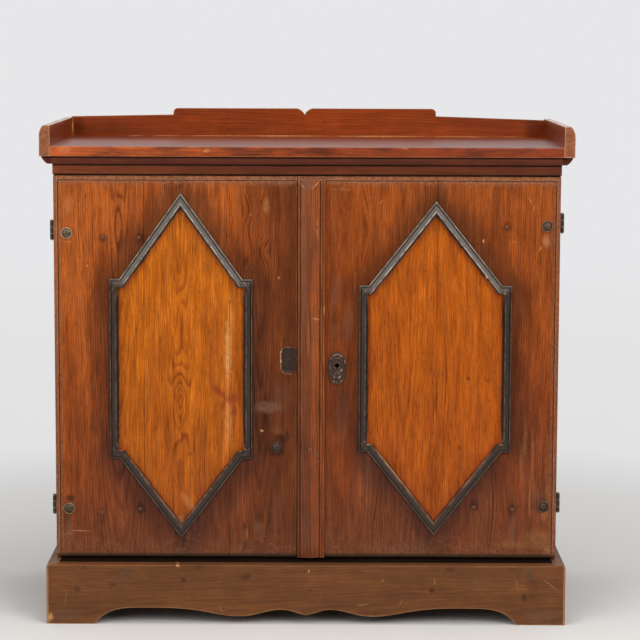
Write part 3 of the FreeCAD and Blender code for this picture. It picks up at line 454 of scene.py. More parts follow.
def dressDoorBoard(name, side, board, look=doorLook):
    material, net, shader = newMaterial(name, gloss=look["gloss"])
    place = millimetres(net)
    grain = grainOf(net, place, board)
    worn = net.group(doorFinish[side], Place=place)
    x, y, z = net.split(place)
    front = net.ease(y, *look["front"])
    level = net.slide(z, *look["span"])
    sway = net.times(grain["Broad"], 0.9, net.less(level, 0.45))
    own = doorSides[side]
    stain = net.ramp(net.plus(sway, net.ease(x, *own["lit"])), own["stain"])
    field = net.ramp(sway, own["field"])
    # painted shade of the closing strip, with dirt, darkens the stain beside it
    stain = net.cover(stain, net.ease(x, *own["stripShadeAndDirt"]), look["stripShadeAndDirt"])
    # rings, fibres and slow bands
    lateStain = net.tint(stain, look["stainRings"])
    lateField = net.tint(field, look["fieldRings"])
    bold = net.times(grain["Late"], net.times(grain["Figure"], 0.45, board["contrast"]))
    stain = net.mix(bold, stain, lateStain)
    bold = net.times(grain["Late"], net.times(grain["Figure"], 0.45, board["fieldContrast"]))
    field = net.mix(bold, field, lateField)
    stain = net.deepen(stain, worn["Halo"], look["halo"])
    field = net.deepen(field, worn["Rim"], look["rim"], look["rimShare"])
    colour = net.mix(worn["Field"], stain, field)
    colour = net.cover(colour, worn["Brush"], look["mouldShadowTone"])   # painted shadow of the moulding on the field
    bands = net.slide(grain["Streak"], 0.3, 0.72, 0.71, 1.25)
    fibres = net.slide(grain["Fibre"], 0.3, 0.7, 0.66, 1.33)
    clouds = net.slide(net.noise(place, (0.032, 0.032, 0.012), 4, 0.65), 0.3, 0.7, 0.84, 1.18)
    shade = net.times(net.times(bands, fibres), clouds)
    warm = net.join(shade, net.calc("POWER", shade, 1.12), net.calc("POWER", shade, 1.3))
    colour = net.tint(colour, warm)
    colour = net.deepen(colour, grain["Line"], look["line"], look["lines"])
    dashes = net.ease(net.noise(place, (0.34, 0.34, 0.05), 2, 0.6), 0.60, 0.70, 0, 0.55)
    colour = net.deepen(colour, dashes, look["dash"])
    colour = net.cover(colour, grain["Fleck"], look["fleck"], 0.7)
    # stains and scars, and the chips that paint a highlight round the keeper plate
    colour = net.deepen(colour, worn["dark"], look["dark"], look["darkShare"])
    for kind, share in (("grey", None), ("pale", None), ("red", look["redShare"]), ("chip", None)):
        colour = net.cover(colour, worn[kind], look[kind], share)
    mottle = net.noise(place, 0.16, 3, 0.7)
    rubbed = net.between(net.ease(mottle, 0.36, 0.66), *look["rubbed"])
    colour = net.mix(net.times(worn["Head"], net.ease(z, *look["head"], 0.35, 0.75)), colour, rubbed)
    colour = net.mix(net.times(worn["Foot"], 0.4), colour, rubbed)
    # bead of the hinge edge
    colour = net.mix(net.ease(net.calc("ABSOLUTE", x), *look["bead"], 0, 0.5), colour, rubbed)
    colour = net.cover(colour, worn["Dust"], look["dust"], look["dustShare"])
    # outer edges pale: wear, with painted highlight along the arrises; painted shade in grooves; joints
    # dark
    joined = net.ease(worn["Joint"], 7, 3)
    chip = net.noise(place, (0.06, 0.06, 0.03), 4, 0.75)
    edge = net.less(net.times(chip, 1.3, convexEdge(net, 0.003)), joined)
    edge = net.ease(edge, 1.0, 1.4)
    colour = net.cover(colour, edge, look["edge"], look["edgeShare"])
    groove = net.ease(cornerShade(net, 0.008), 0.15, 0.8)
    groove = net.times(groove, net.ease(mottle, 0.3, 0.6, 0.2, 0.6))
    groove = net.times(groove, net.slide(net.times(joined, worn["Field"]), 0, 1, 1, 0.25))
    colour = net.cover(colour, groove, look["groove"])
    seam = net.times(net.ease(worn["Joint"], 1.6, 0.4), own["joint"])
    seam = net.times(seam, net.slide(worn["Field"], 0, 1, 1, 0.3))
    colour = net.cover(colour, seam, look["seam"])
    # the foot bevel is grey-green and unpolished
    bevel = net.ease(net.times(mottle, 3.0, z), *look["bevelTop"])
    colour = net.cover(colour, bevel, look["bevel"], look["bevelShare"])
    # bare timber at the back
    bare = net.between(grain["Late"], *look["bare"])
    bare = net.tint(bare, net.join(shade, shade, shade))
    colour = net.mix(front, bare, colour)
    rough = net.slide(grain["Streak"], 0.2, 0.8, *look["rough"])
    rough = net.times(worn["Foot"], 0.2, rough)
    rough = net.times(worn["Head"], 0.2, rough)
    rough = net.mix(front, [look["backRough"]] * 3 + [1], rough)
    closeMaterial(net, shader, colour, rough, woodHeight(net, grain))
    return material


doorBoards = {
    "left_door_board_1": dict(
        heart=(-389, -178, 760), rise=0.06, spacing=4.6, wander=2.5, contrast=0.7,
        figures=[(-389, 850, 12, 90, 3.0), (-352, 800, 12, 60, 2.0)]),
    "left_door_board_2": dict(
        heart=(-262, -172, 560), rise=0.04, spacing=4.2, wander=2.5, fieldContrast=0.65,
        figures=[(-263, 462, 20, 92, 4.6), (-262, 462, 7, 26, 1.4), (-261, 640, 10, 60, 1.8)]),
    "left_door_board_3": dict(
        heart=(-96, -176, 560), rise=0.05, spacing=4.4, wander=2.5, contrast=0.7,
        figures=[(-113, 862, 18, 46, 4.0), (-114, 790, 12, 30, 2.8), (-116, 752, 12, 22, 2.4),
                 (-88, 776, 12, 28, 2.4), (-124, 181, 8, 40, 2.0)]),
    "right_door_board_1": dict(
        heart=(200, -164, 560), rise=0.035, spacing=4.4, wander=3.5, contrast=0.65, fieldContrast=0.55,
        figures=[(127, 830, 13, 90, 3.5), (264, 460, 10, 60, 2.4), (262, 262, 12, 50, 2.5),
                 (150, 300, 22, 90, 2.4)]),
    "right_door_board_2": dict(
        heart=(560, -150, 500), rise=-0.03, spacing=4.4, wander=3.5, contrast=0.65, fieldContrast=0.55,
        figures=[(400, 230, 16, 90, 2.5), (319, 372, 9, 14, 1.6), (300, 520, 14, 120, 2.0)]),
}
for nodeName, board in doorBoards.items():
    side = nodeName.split("_")[0]
    board = dict(dict(grain="upright", contrast=0.65, fieldContrast=0.55), **board)
    material = dressDoorBoard(nodeName + "_finish", side, board)
    giveFinish(nodeName, material)
print("cupboard: door boards finished")


# which axis the end grain of a board faces
endAxis = {"upright": 2, "level": 0, "sideUpright": 2, "sideLevel": 1, "topLevel": 0}


# what every stained or bare board has unless its own look says otherwise
plainLook = dict(
    gloss=0.3, rough=(0.34, 0.48), contrast=0.6, late=(0.52, 0.42, 0.36), line=(0.5, 0.42, 0.36),
    lines=0.3, fleck=(44, 22, 12), darkMark=(0.3, 0.29, 0.34), greyMark=(92, 74, 60),
    paleMark=(206, 150, 96), dustTone=(190, 136, 92), dust=0.4, edgeReach=0.0035, edgeStart=0.98,
    edge=0.5, rubbed=(180, 110, 64), cornerShadeTone=(40, 22, 14), shadowLineTone=(18, 10, 7), seams=(),
    rounding=0.0015, wander=5.0)


def dressStained(name, look, board, marks=()):
    look = dict(plainLook, **look)
    material, net, shader = newMaterial(name, gloss=look["gloss"])
    place = millimetres(net)
    grain = grainOf(net, place, dict(board, wander=look["wander"]))
    x, y, z = net.split(place)
    light, dark = tone(*look["light"]), tone(*look["dark"])
    base = net.mix(net.ease(grain["Broad"], 0.32, 0.68), dark, light)
    if "low" in look:   # the stain darkens towards the floor
        base = net.cover(base, net.ease(z, *look["fade"]), look["low"])
    if "front" in look:   # a front edge of its own colour
        depth, shine, deep = look["front"]
        streaky = net.ease(net.noise(place, (0.012, 0.03, 0.05), 3, 0.65), 0.36, 0.62)
        ahead = net.between(streaky, deep, shine)
        ahead = net.deepen(ahead, net.ease(x, -450, 250), (0.7, 0.58, 0.2))
        base = net.mix(net.ease(y, depth + 1.0, depth), base, ahead)
    if "crown" in look:   # upward faces turn pale grey
        upward = net.ease(net.split(net.add("NewGeometry").outputs["Normal"])[2], 0.6, 0.85)
        paleTop = net.between(net.ease(net.noise(place, (0.03, 0.012, 0.03), 3, 0.7), 0.35, 0.6),
                                look["crown"][0], look["crown"][1])
        base = net.mix(net.times(upward, 0.8), base, paleTop)
    if "halves" in look:   # painted shade on the ridge's left slope, painted light on its right slope
        ridge, leftTint, rightTint = look["halves"]
        tint = net.mix(net.ease(x, ridge - 1, ridge + 1), leftTint, rightTint)
        base = net.tint(base, tint)
    if "fall" in look:   # darker towards the right
        left, right, factor = look["fall"]
        base = net.deepen(base, net.ease(x, left, right), factor)
    late = net.tint(base, look["late"])
    colour = net.mix(net.times(grain["Late"], look["contrast"]), base, late)
    shade = net.times(net.slide(grain["Streak"], 0.3, 0.72, 0.8, 1.16),
                      net.slide(grain["Fibre"], 0.3, 0.7, 0.84, 1.12))
    clouds = net.slide(net.noise(place, 0.02, 4, 0.65), 0.3, 0.7, 0.88, 1.13)
    shade = net.times(shade, clouds)
    colour = net.tint(colour, net.join(shade, shade, shade))
    colour = net.deepen(colour, grain["Line"], look["line"], look["lines"])
    colour = net.cover(colour, grain["Fleck"], look["fleck"], 0.4)
    mottle = net.noise(place, 0.13, 4, 0.7)
    # end grain: paler, rougher
    facing = net.split(net.add("NewGeometry").outputs["Normal"])[endAxis[board["grain"]]]
    ends = net.ease(net.calc("ABSOLUTE", facing), 0.75, 0.9)
    endTone = net.between(net.ease(mottle, 0.35, 0.65), look.get("endDark", look["dark"]),
                          look.get("endLight", look["light"]))
    colour = net.mix(ends, colour, endTone)
    if marks:
        found = gatherMarks(net, place, marks, ("dark", "grey", "pale"))
        colour = net.deepen(colour, found["dark"], look["darkMark"])
        colour = net.cover(colour, found["grey"], look["greyMark"])
        colour = net.cover(colour, found["pale"], look["paleMark"])
    specks = net.noise(place, 0.5, 2, 0.7)
    patch = net.noise(place, 0.014, 2)
    dust = net.ease(net.times(patch, 0.3, specks), 0.9, 0.97)
    colour = net.cover(colour, dust, look["dustTone"], look["dust"])
    # pale edges: wear, with painted highlight along the arrises
    chip = net.noise(place, 0.05, 4, 0.75)
    edge = net.times(chip, 1.3, convexEdge(net, look["edgeReach"]))
    edge = net.ease(edge, look["edgeStart"], 1.4)
    colour = net.cover(colour, edge, look["rubbed"], look["edge"])
    # painted shade in corners and grooves
    groove = net.ease(cornerShade(net), 0.2, 0.9)
    colour = net.cover(colour, groove, look["cornerShadeTone"], 0.6)
    for middle, half in look["seams"]:   # painted shadow lines at the joints under the overhangs
        apart = net.apart(z, middle)
        colour = net.cover(colour, net.ease(apart, half + 0.5, half - 0.4, 0, 0.9), look["shadowLineTone"])
    rough = net.slide(grain["Streak"], 0.2, 0.8, *look["rough"])
    rough = net.times(dust, 0.2, rough)
    rough = net.times(ends, 0.15, rough)
    closeMaterial(net, shader, colour, rough, woodHeight(net, grain, 0.07, 0.08), look["rounding"])
    return material


galleryLook = dict(
    light=(140, 56, 8), dark=(118, 46, 6), contrast=0.6, rough=(0.30, 0.42), edge=0.4, lines=0.35,
    gloss=0.2, endLight=(146, 90, 60), endDark=(122, 66, 38), rubbed=(182, 112, 62))
sideGalleryLook = dict(
    galleryLook, crown=((150, 122, 104), (184, 172, 162)), rubbed=(196, 152, 116), edge=0.55)
topLook = dict(
    light=(120, 51, 23), dark=(94, 41, 18), contrast=0.5, rough=(0.30, 0.42), edge=0.5,
    rubbed=(190, 110, 56), gloss=0.42, dust=0.5, front=(-212, (172, 76, 16), (118, 50, 8)),
    fall=(-500, 450, (0.84, 0.82, 0.80)))
corniceLook = dict(
    light=(104, 46, 24), dark=(90, 39, 20), contrast=0.4, edge=0.25, rubbed=(132, 70, 42), gloss=0.2,
    seams=[(970.3, 2.0)])
friezeLook = dict(
    light=(126, 59, 26), dark=(104, 48, 21), contrast=0.5, edge=0.3, rubbed=(144, 84, 48), gloss=0.2,
    seams=[(954.2, 1.9), (934.4, 1.3)], fall=(-500, 400, (0.54, 0.52, 0.50)))
sideLook = dict(light=(132, 60, 20), dark=(104, 48, 16), contrast=0.8, edge=0.4, lines=0.4, gloss=0.22)
stripLook = dict(
    light=(142, 74, 30), dark=(106, 52, 22), contrast=1.0, edge=0.7, rubbed=(176, 120, 80),
    edgeReach=0.0025, low=(116, 58, 26), fade=(760, 300), lines=0.6, gloss=0.25, wander=3,
    # painted shade on the ridge's left slope, painted light on its right
    halves=(10, (0.86, 0.85, 0.82, 1), (1.28, 1.20, 0.85, 1)))
plinthLook = dict(
    light=(112, 67, 33), dark=(101, 60, 29), contrast=0.4, rough=(0.40, 0.54), edge=0.6,
    rubbed=(176, 128, 82), gloss=0.2, dust=0.45, lines=0.3, edgeStart=0.9)
# the ledge under the doors is stained near black as painted shade of the gap beneath them
ledgeShadeLook = dict(
    light=(34, 20, 12), dark=(18, 10, 6), contrast=0.3, rough=(0.6, 0.7), edge=0.1, gloss=0.1, dust=0.1)

plinthMarks = {
    "dark": [(-476, 74, 9, 8, 0, 0.5), (-402, 84, 7, 6, 0, 0.5), (-254, 93, 8, 7, 0, 0.65),
        (-123, 102, 12, 8, -25, 0.6), (263, 73, 9, 7, 0, 0.75), (8, 73, 6, 3, 20, 0.55),
        (-372, 110, 6, 20, 32, 0.35), (-221, 121, 6, 4, 0, 0.4), (-459, 119, 8, 4, 0, 0.35),
        (464, 106, 7, 13, 0, 0.6), (455, 57, 8, 13, 0, 0.65), (110, 112, 16, 4, 8, 0.4),
        (300, 118, 14, 4, 0, 0.4), (470, 80, 16, 40, 0, 0.22), (258, 67, 130, 0.7, 0, 0.45),
        (-200, 62, 150, 0.7, 1, 0.15)],
    "grey": [(-378, 104, 10, 26, 32, 0.5), (464, 108, 10, 16, 0, 0.55), (355, 85, 14, 24, 0, 0.22),
        (-500, 18, 46, 16, 0, 0.35), (490, 20, 48, 18, 0, 0.35)],
    "pale": [(-267, 124, 5, 3, 0, 0.9), (6, 113, 1.8, 4.5, 25, 0.9), (-533, 14, 8, 11, 20, 0.75),
        (509, 86, 24, 1.0, 38, 0.55), (118, 42, 17, 1.1, -8, 0.5), (160, 94, 1.1, 5, 10, 0.5),
        (268, 92, 1.1, 9, 5, 0.45), (198, 47, 1.1, 12, 30, 0.35), (440, 84, 1.3, 14, -10, 0.3),
        (-176, 30, 1.0, 12, -30, 0.3), (-500, 55, 1.0, 20, 8, 0.25)],
}
galleryMarks = {
    "pale": [(-60, 995.5, 120, 1.7, 0, 0.75), (-200, 995.5, 90, 1.4, 0, 0.6),
        (-315, 995.5, 36, 1.3, 0, 0.6), (-385, 995.2, 22, 1.2, 0, 0.45), (160, 995.5, 130, 1.6, 0, 0.75),
        (340, 995.2, 90, 1.3, 0, 0.55), (450, 995.2, 40, 1.1, 0, 0.4), (-525.5, 1016, 1.8, 22, 0, 0.9)],
    # the first three dark rows are painted shade at the back's ends, in the corners with the sides
    "dark": [(-512, 1014, 16, 30, 0, 0.5), (505, 1012, 26, 34, 0, 0.55), (526, 1014, 2, 24, 0, 0.7),
        (-380, 1020, 90, 3, 0, 0.12)],
}
topEdgeMarks = {
    "pale": [(-205, 985, 9, 5, 0, 0.6), (-497, 985, 18, 8, 0, 0.3), (200, 990, 8, 2, 0, 0.4)],
}
stripMarks = {
    # the first two pale rows run along the V at the top: painted highlights on its arrises
    "pale": [(-11, 914, 1.5, 13, -39, 0.8), (18, 914, 1.5, 13, 43, 0.8), (37, 655, 3.5, 12, 0, 0.6),
        (22, 822, 2.5, 30, 0, 0.3), (20, 636, 12, 2.5, 12, 0.5), (4, 600, 1.2, 40, 0, 0.3)],
    "dark": [(22, 350, 0.9, 34, 0, 0.9), (22, 250, 0.8, 70, 0, 0.45), (25, 480, 8, 110, 0, 0.25),
        (3, 540, 3, 30, 0, 0.3)],
    "grey": [(22, 352, 6, 6, 0, 0.8), (-6, 720, 7, 170, 0, 0.28), (0, 918, 20, 16, 0, 0.5),
        (2, 190, 12, 60, 0, 0.2)],
}
# look, way of the grain, heart (mm), rise and spacing of the rings, and marks if it has any
frontBoards = {
    "gallery_back": (galleryLook, "level", (1100, 300, -120), 0.02, 4.6, galleryMarks),
    "gallery_left": (sideGalleryLook, "sideLevel", (1060, -500, 0), 0.03, 3.4),
    "gallery_right": (sideGalleryLook, "sideLevel", (940, 500, 0), 0.03, 3.4),
    "top_board_front": (topLook, "topLevel", (-120, 900, 40), 0.03, 4.2, topEdgeMarks),
    "top_board_rear": (topLook, "topLevel", (80, 880, 0), 0.03, 4.2),
    "cornice_front": (corniceLook, "level", (1000, -150, 0), 0.01, 3.0),
    "cornice_left": (corniceLook, "sideLevel", (1000, -500, 0), 0.01, 3.0),
    "cornice_right": (corniceLook, "sideLevel", (1000, 500, 0), 0.01, 3.0),
    "frieze_rail": (friezeLook, "level", (900, -140, 0), 0.02, 3.2),
    "carcase_side_left": (sideLook, "sideUpright", (20, -430, 480), 0.07, 4.2),
    "carcase_side_right": (sideLook, "sideUpright", (-40, 440, 420), 0.06, 4.2),
    "closing_strip": (stripLook, "upright", (40, -160, 500), 0.02, 3.0, stripMarks),
    "plinth_front": (plinthLook, "level", (10, -160, 0), 0.03, 4.6, plinthMarks),
    "plinth_side_left": (plinthLook, "sideLevel", (10, -440, 0), 0.03, 4.6),
    "plinth_side_right": (plinthLook, "sideLevel", (90, 440, 0), 0.03, 4.6),
    "plinth_ledge": (ledgeShadeLook, "topLevel", (-150, 150, 0), 0.02, 3.6),
}
for seed, (nodeName, row) in enumerate(frontBoards.items(), 3):
    look, grainWay, heart, rise, spacing, *marks = row
    board = dict(grain=grainWay, heart=heart, rise=rise, spacing=spacing, seed=seed)
    material = dressStained(nodeName + "_finish", look, board, *marks)
    giveFinish(nodeName, material)
print("cupboard: case, gallery and plinth finished")


# bare pine: inside, back, shelves and battens
bareLook = dict(
    light=(176, 120, 70), dark=(142, 94, 54), late=(0.66, 0.54, 0.42), contrast=0.8, rough=(0.62, 0.78),
    gloss=0.25, edge=0.3, rubbed=(206, 160, 108), dust=0.2)
greyLook = dict(
    light=(150, 110, 72), dark=(116, 84, 56), late=(0.62, 0.54, 0.46), contrast=0.8, rough=(0.66, 0.8),
    gloss=0.2, edge=0.3, rubbed=(180, 146, 106), dust=0.3)
bareBoards = {
    "back_board_1": (greyLook, "upright", (-420, 330, 500)),
    "back_board_2": (greyLook, "upright", (-190, 300, 300)),
    "back_board_3": (greyLook, "upright", (30, 320, 700)),
    "back_board_4": (greyLook, "upright", (180, 300, 520)),
    "back_board_5": (greyLook, "upright", (430, 330, 400)),
    "carcase_bottom": (bareLook, "topLevel", (0, 220, 0)),
    "carcase_top_rail": (bareLook, "level", (940, -100, 0)),
    "lower_shelf": (bareLook, "topLevel", (60, 300, 0)),
    "upper_shelf": (bareLook, "topLevel", (0, 560, 0)),
    "lower_shelf_cleats": (bareLook, "sideLevel", (340, 400, 0)),
    "upper_shelf_cleats": (bareLook, "sideLevel", (600, 400, 0)),
    "left_door_battens": (bareLook, "level", (500, -120, 0)),
    "right_door_battens": (bareLook, "level", (520, -120, 0)),
    "plinth_bearers": (bareLook, "sideLevel", (110, 400, 0)),
    "plinth_back_rail": (greyLook, "level", (80, 300, 0)),
    "plinth_corner_blocks": (bareLook, "upright", (400, 100, 60)),
}
backNails = dict(
    levels=("carcase_bottom", "lower_shelf", "upper_shelf", "top_board_rear"), inset=24.0, head=3.2,
    stain=9.0, joint=1.1, uneven=0.10)
for seed, (nodeName, (look, grainWay, heart)) in enumerate(bareBoards.items(), 21):
    board = dict(grain=grainWay, heart=heart, rise=0.03, spacing=4.4, seed=seed)
    spots = []
    if nodeName.startswith("back_board"):   # iron nails with their stains
        low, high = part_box(nodeName)
        share = 1 + backNails["uneven"] * math.sin(seed * 2.4)   # no two boards have quite the same tone
        look = dict(look, light=[c * share for c in look["light"]], dark=[c * share for c in look["dark"]])
        for x in (low.x * 1000, high.x * 1000):
            spots.append((x, (low.z + high.z) * 500, backNails["joint"], 900, 0, 0.95))
        for step, level in enumerate(backNails["levels"]):
            levelLow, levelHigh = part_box(level)
            z = min((levelLow.z + levelHigh.z) * 500, high.z * 1000 - 12)
            for x in (low.x * 1000 + backNails["inset"] + step,
                      high.x * 1000 - backNails["inset"] - step * 2):
                spots += [(x, z, backNails["head"], backNails["head"], 0, 1.0),
                          (x, z - 4, backNails["stain"] * 0.7, backNails["stain"] * 1.6, 0, 0.5)]
    material = dressStained(nodeName + "_finish", look, board, {"dark": spots} if spots else ())
    giveFinish(nodeName, material)
print("cupboard: bare boards finished")


blackPaint = dict(
    body=(48, 33, 24), thin=(70, 51, 39), cloud=(0.72, 0.76, 0.74), dustAndSheen=(98, 88, 78),
    worn=(176, 160, 144), wornLines=((-13.4, 1.5, 0.95), (-1.6, 1.2, 0.7)),
    rim=((70, 44, 32), (140, 96, 70)), inner=(20, 17, 14), speck=(150, 130, 100),
    paleMark=(204, 168, 110), redMark=(150, 96, 66), groove=(20, 17, 14), rough=(0.32, 0.46), gloss=0.35)


def dressMoulding(name, field, marks):
    material, net, shader = newMaterial(name, gloss=blackPaint["gloss"])
    place = millimetres(net)
    x, y, z = net.split(place)
    # run the streaks along each length: fold the hexagon onto one quarter and turn with its slope
    across = net.apart(x, field["centre"])
    slope = math.atan2(field["top"] - field["topEar"], field["half"] - field["ear"])
    middle = (field["top"] + field["foot"]) / 2
    up = net.apart(z, middle)
    along = net.plus(net.times(across, -math.cos(slope)), net.times(up, math.sin(slope)))
    aside = net.plus(net.times(across, math.sin(slope)), net.times(up, math.cos(slope)))
    if "uprights" in name:
        run = net.join(x, y, z)
    else:
        run = net.join(aside, y, along)
    streak = net.noise(run, (0.9, 0.9, 0.012), 4, 0.65)
    patch = net.noise(place, 0.02, 3, 0.6)
    grit = net.noise(place, 0.9, 2, 0.6)
    colour = net.between(net.ease(streak, 0.38, 0.68), blackPaint["body"], blackPaint["thin"])
    colour = net.deepen(colour, net.ease(patch, 0.35, 0.7), blackPaint["cloud"])
    # the two slanting lengths that face upwards are paler: dust, with painted sheen of the light from above
    reach = fieldDistance(net, place, field)
    upper = net.ease(z, field["topEar"] - 18, field["topEar"])
    dustAndSheen = net.times(upper, net.ease(streak, 0.3, 0.62, 0.35, 0.95))
    colour = net.cover(colour, dustAndSheen, blackPaint["dustAndSheen"])
    # rubbed line beside the raised inner arris, and another along the outer bead; both show most on the
    # upward lengths as painted highlight
    wander = net.times(net.noise(place, 0.07, 3, 0.7), 3.0, -1.5)
    chips = net.ease(net.noise(place, 0.04, 4, 0.75), 0.4, 0.6)
    for middleLine, width, strength in blackPaint["wornLines"]:
        offset = net.calc("ABSOLUTE", net.plus(reach, net.times(wander, 0.2, -middleLine)))
        line = net.times(net.ease(offset, width, width * 0.3), net.times(chips, strength))
        colour = net.cover(colour, line, blackPaint["worn"], net.slide(upper, 0, 1, 0.28, 1))
    # black paint deepened into painted shade on the inner side of the upper lengths; on the lower lengths
    # that side shows brown as painted highlight
    inner = net.ease(net.times(wander, 0.4, reach), -14.4, -15.4)
    lower = net.ease(z, field["footEar"] + 8, field["footEar"] - 8)
    rim = net.between(chips, *blackPaint["rim"])
    colour = net.mix(net.times(inner, 0.85), colour, net.mix(lower, tone(*blackPaint["inner"]), rim))
    specks = net.ease(net.noise(place, 0.5, 2, 0.7), 0.7, 0.78)
    colour = net.cover(colour, specks, blackPaint["speck"], 0.5)
    found = gatherMarks(net, place, marks, ("pale", "red"))
    colour = net.cover(colour, found["pale"], blackPaint["paleMark"])
    colour = net.cover(colour, found["red"], blackPaint["redMark"])
    # painted shade in the moulding's grooves
    groove = net.ease(cornerShade(net, 0.006), 0.15, 0.8)
    colour = net.cover(colour, groove, blackPaint["groove"], 0.8)
    rough = net.slide(streak, 0.3, 0.7, *blackPaint["rough"])
    height = net.times(streak, 0.16, net.times(grit, 0.05))
    closeMaterial(net, shader, colour, rough, height, 0.0006)
    return material


leftMouldMarks = {
    "red": [(-388, 359, 9, 1.5, 4, 0.7), (-136, 359, 8, 1.6, -20, 0.8), (-372, 352, 1.6, 9, 40, 0.5)],
    "pale": [(-128, 362, 2.5, 2, 0, 0.6)],
}
rightMouldMarks = {
    "pale": [(197.5, 296.5, 104, 1.5, 51, 0.8), (330, 297, 100, 1.2, -51, 0.35),
        (371, 723, 2.6, 5, 40, 0.95), (130, 373, 6, 1.4, -8, 0.7), (404, 374, 7, 1.3, 8, 0.6),
        (410, 690, 3, 3, 0, 0.4), (121, 378, 1.4, 3, 0, 0.6)],
}
for side, field, marks in (("left", leftField, leftMouldMarks), ("right", rightField, rightMouldMarks)):
    for part in ("diagonals", "uprights"):
        nodeName = side + "_field_" + part
        material = dressMoulding(nodeName + "_paint", field, marks)
        giveFinish(nodeName, material)
print("cupboard: black mouldings finished")


ironLook = dict(
    body=(58, 50, 44), rust=(88, 58, 40), bright=(138, 130, 112), rough=(0.36, 0.62), metal=0.55,
    gloss=0.5, reach=0.0022, edgeStart=0.5, groove=(18, 14, 12), pit=(26, 20, 17),
    dulled=(0.6, 0.56, 0.54))


def dressIron(name, **changes):
    look = dict(ironLook, **changes)
    material, net, shader = newMaterial(name, gloss=look["gloss"], metal=look["metal"])
    place = millimetres(net)
    patch = net.noise(place, 0.16, 3, 0.65)
    grit = net.noise(place, 0.9, 3, 0.6)
    pits = net.ease(net.noise(place, 0.45, 2, 0.6), 0.36, 0.28)
    colour = net.between(net.ease(patch, 0.42, 0.7), look["body"], look["rust"])
    colour = net.mix(net.ease(grit, 0.55, 0.75), colour, net.cover(colour, 0.5, look["bright"]))
    # pale edges: wear, with painted highlight along the rims
    edge = convexEdge(net, look["reach"])
    edge = net.ease(net.times(patch, 0.6, edge), look["edgeStart"], 0.95)
    colour = net.cover(colour, edge, look["bright"], 0.8)
    # darker in corners and hollows: oxide, deepened by painted shade
    groove = net.ease(cornerShade(net, 0.004), 0.15, 0.8)
    colour = net.cover(colour, groove, look["groove"], 0.8)
    colour = net.cover(colour, pits, look["pit"])
    if "wear" in look:   # painted highlights at chosen places
        found = gatherMarks(net, place, look["wear"], ("chip",))
        colour = net.cover(colour, found["chip"], look["bright"])
    if "dull" in look:   # darker below this height
        low = net.ease(net.split(place)[2], look["dull"] + 40, look["dull"] - 40)
        colour = net.deepen(colour, low, look["dulled"])
    rough = net.slide(patch, 0.3, 0.7, *look["rough"])
    height = net.times(patch, 0.35, net.times(grit, 0.12))
    height = net.times(pits, -0.2, height)
    closeMaterial(net, shader, colour, rough, height, 0.0006)
    return material


iron = dressIron("forgedIron")
darkIron = dressIron("darkIron", body=(60, 42, 33), rust=(72, 48, 36), bright=(172, 138, 116),
                     rough=(0.30, 0.50), metal=0.4, reach=0.0008, edgeStart=0.55)
# pale patches along the plate's upper rim, collar and scroll: painted highlights
keyGlints = {
    "chip": [(57.4, 559.6, 4.8, 1.1, -32, 0.9), (63.6, 561.6, 6.0, 1.0, 0, 0.75),
        (71.2, 558.6, 6.0, 1.1, 33, 0.95), (51.4, 554.0, 1.1, 4.5, 24, 0.55),
        (61.0, 554.2, 2.0, 0.9, 0, 0.6), (66.6, 554.0, 2.4, 0.9, 0, 0.75),
        (79.6, 546.5, 1.2, 5.0, -12, 0.7), (48.4, 536.0, 1.6, 11, 0, 0.22),
        (72.0, 528.4, 1.2, 4.2, 38, 1.0), (66.4, 521.6, 1.0, 4.2, 40, 0.5),
        (60.4, 522.0, 0.9, 5.0, 34, 0.4), (57.9, 514.6, 1.2, 3.2, 0, 0.8),
        (66.6, 513.4, 2.8, 1.0, 24, 0.7), (57.0, 504.6, 3.4, 1.0, 36, 0.65),
        (72.2, 505.2, 3.8, 1.1, -32, 0.6), (63.4, 502.8, 2.6, 0.8, 0, 0.3)],
}
keyIron = dressIron("keyIron", body=(58, 41, 32), rust=(72, 49, 38), bright=(206, 172, 150),
                    rough=(0.30, 0.50), metal=0.4, reach=0.0008, edgeStart=0.55, wear=keyGlints)
plateIron = dressIron("plateIron", body=(50, 35, 25), rust=(58, 38, 28), bright=(132, 102, 84),
                      rough=(0.34, 0.52), metal=0.4, reach=0.0006, edgeStart=0.6)
rivetMetal = dressIron("wornRivet", body=(92, 78, 56), rust=(66, 46, 30), bright=(208, 182, 144),
                       rough=(0.28, 0.46), metal=0.6, dull=500)
dullRivet = dressIron("dullRivet", body=(98, 72, 52), rust=(66, 44, 30), bright=(176, 144, 116),
                      rough=(0.34, 0.52), metal=0.45, reach=0.0015, edgeStart=0.50, dull=500)
nailIron = dressIron("nailIron", body=(56, 38, 30), rust=(66, 42, 32), bright=(112, 84, 68),
                     rough=(0.42, 0.62), metal=0.3)
ironNodes = ["button_catch", "hinge_pins", "left_hinge_leaves", "right_hinge_leaves", "button_pivot",
             "keeper_plate", "left_door_nails", "left_door_rivets", "left_door_straps", "lock_keeper",
             "escutcheon", "lock_case", "right_door_nails", "right_door_rivets", "right_door_straps",
             "strip_nails", "lock_bolt", "turn_button"]
for nodeName in ironNodes:
    giveFinish(nodeName, nailIron if nodeName.endswith("nails") else iron)
print("cupboard: iron finished")


# Ironwork modelled here: rivets, boss, key plate, keeper plate, nails and screws. Lengths are in metres
# from here on.

def choose(*pieces):
    # selects these and makes the first of them active
    bpy.ops.object.select_all(action="DESELECT")
    for piece in pieces:
        piece.select_set(True)
    bpy.context.view_layer.objects.active = pieces[0]


def begin(kind, name, **how):
    bpy.ops.object.select_all(action="DESELECT")
    getattr(bpy.ops.mesh, "primitive_" + kind + "_add")(**how)
    piece = bpy.context.object
    piece.name = piece.data.name = name
    bpy.ops.object.transform_apply(location=True, rotation=True, scale=True)
    return piece


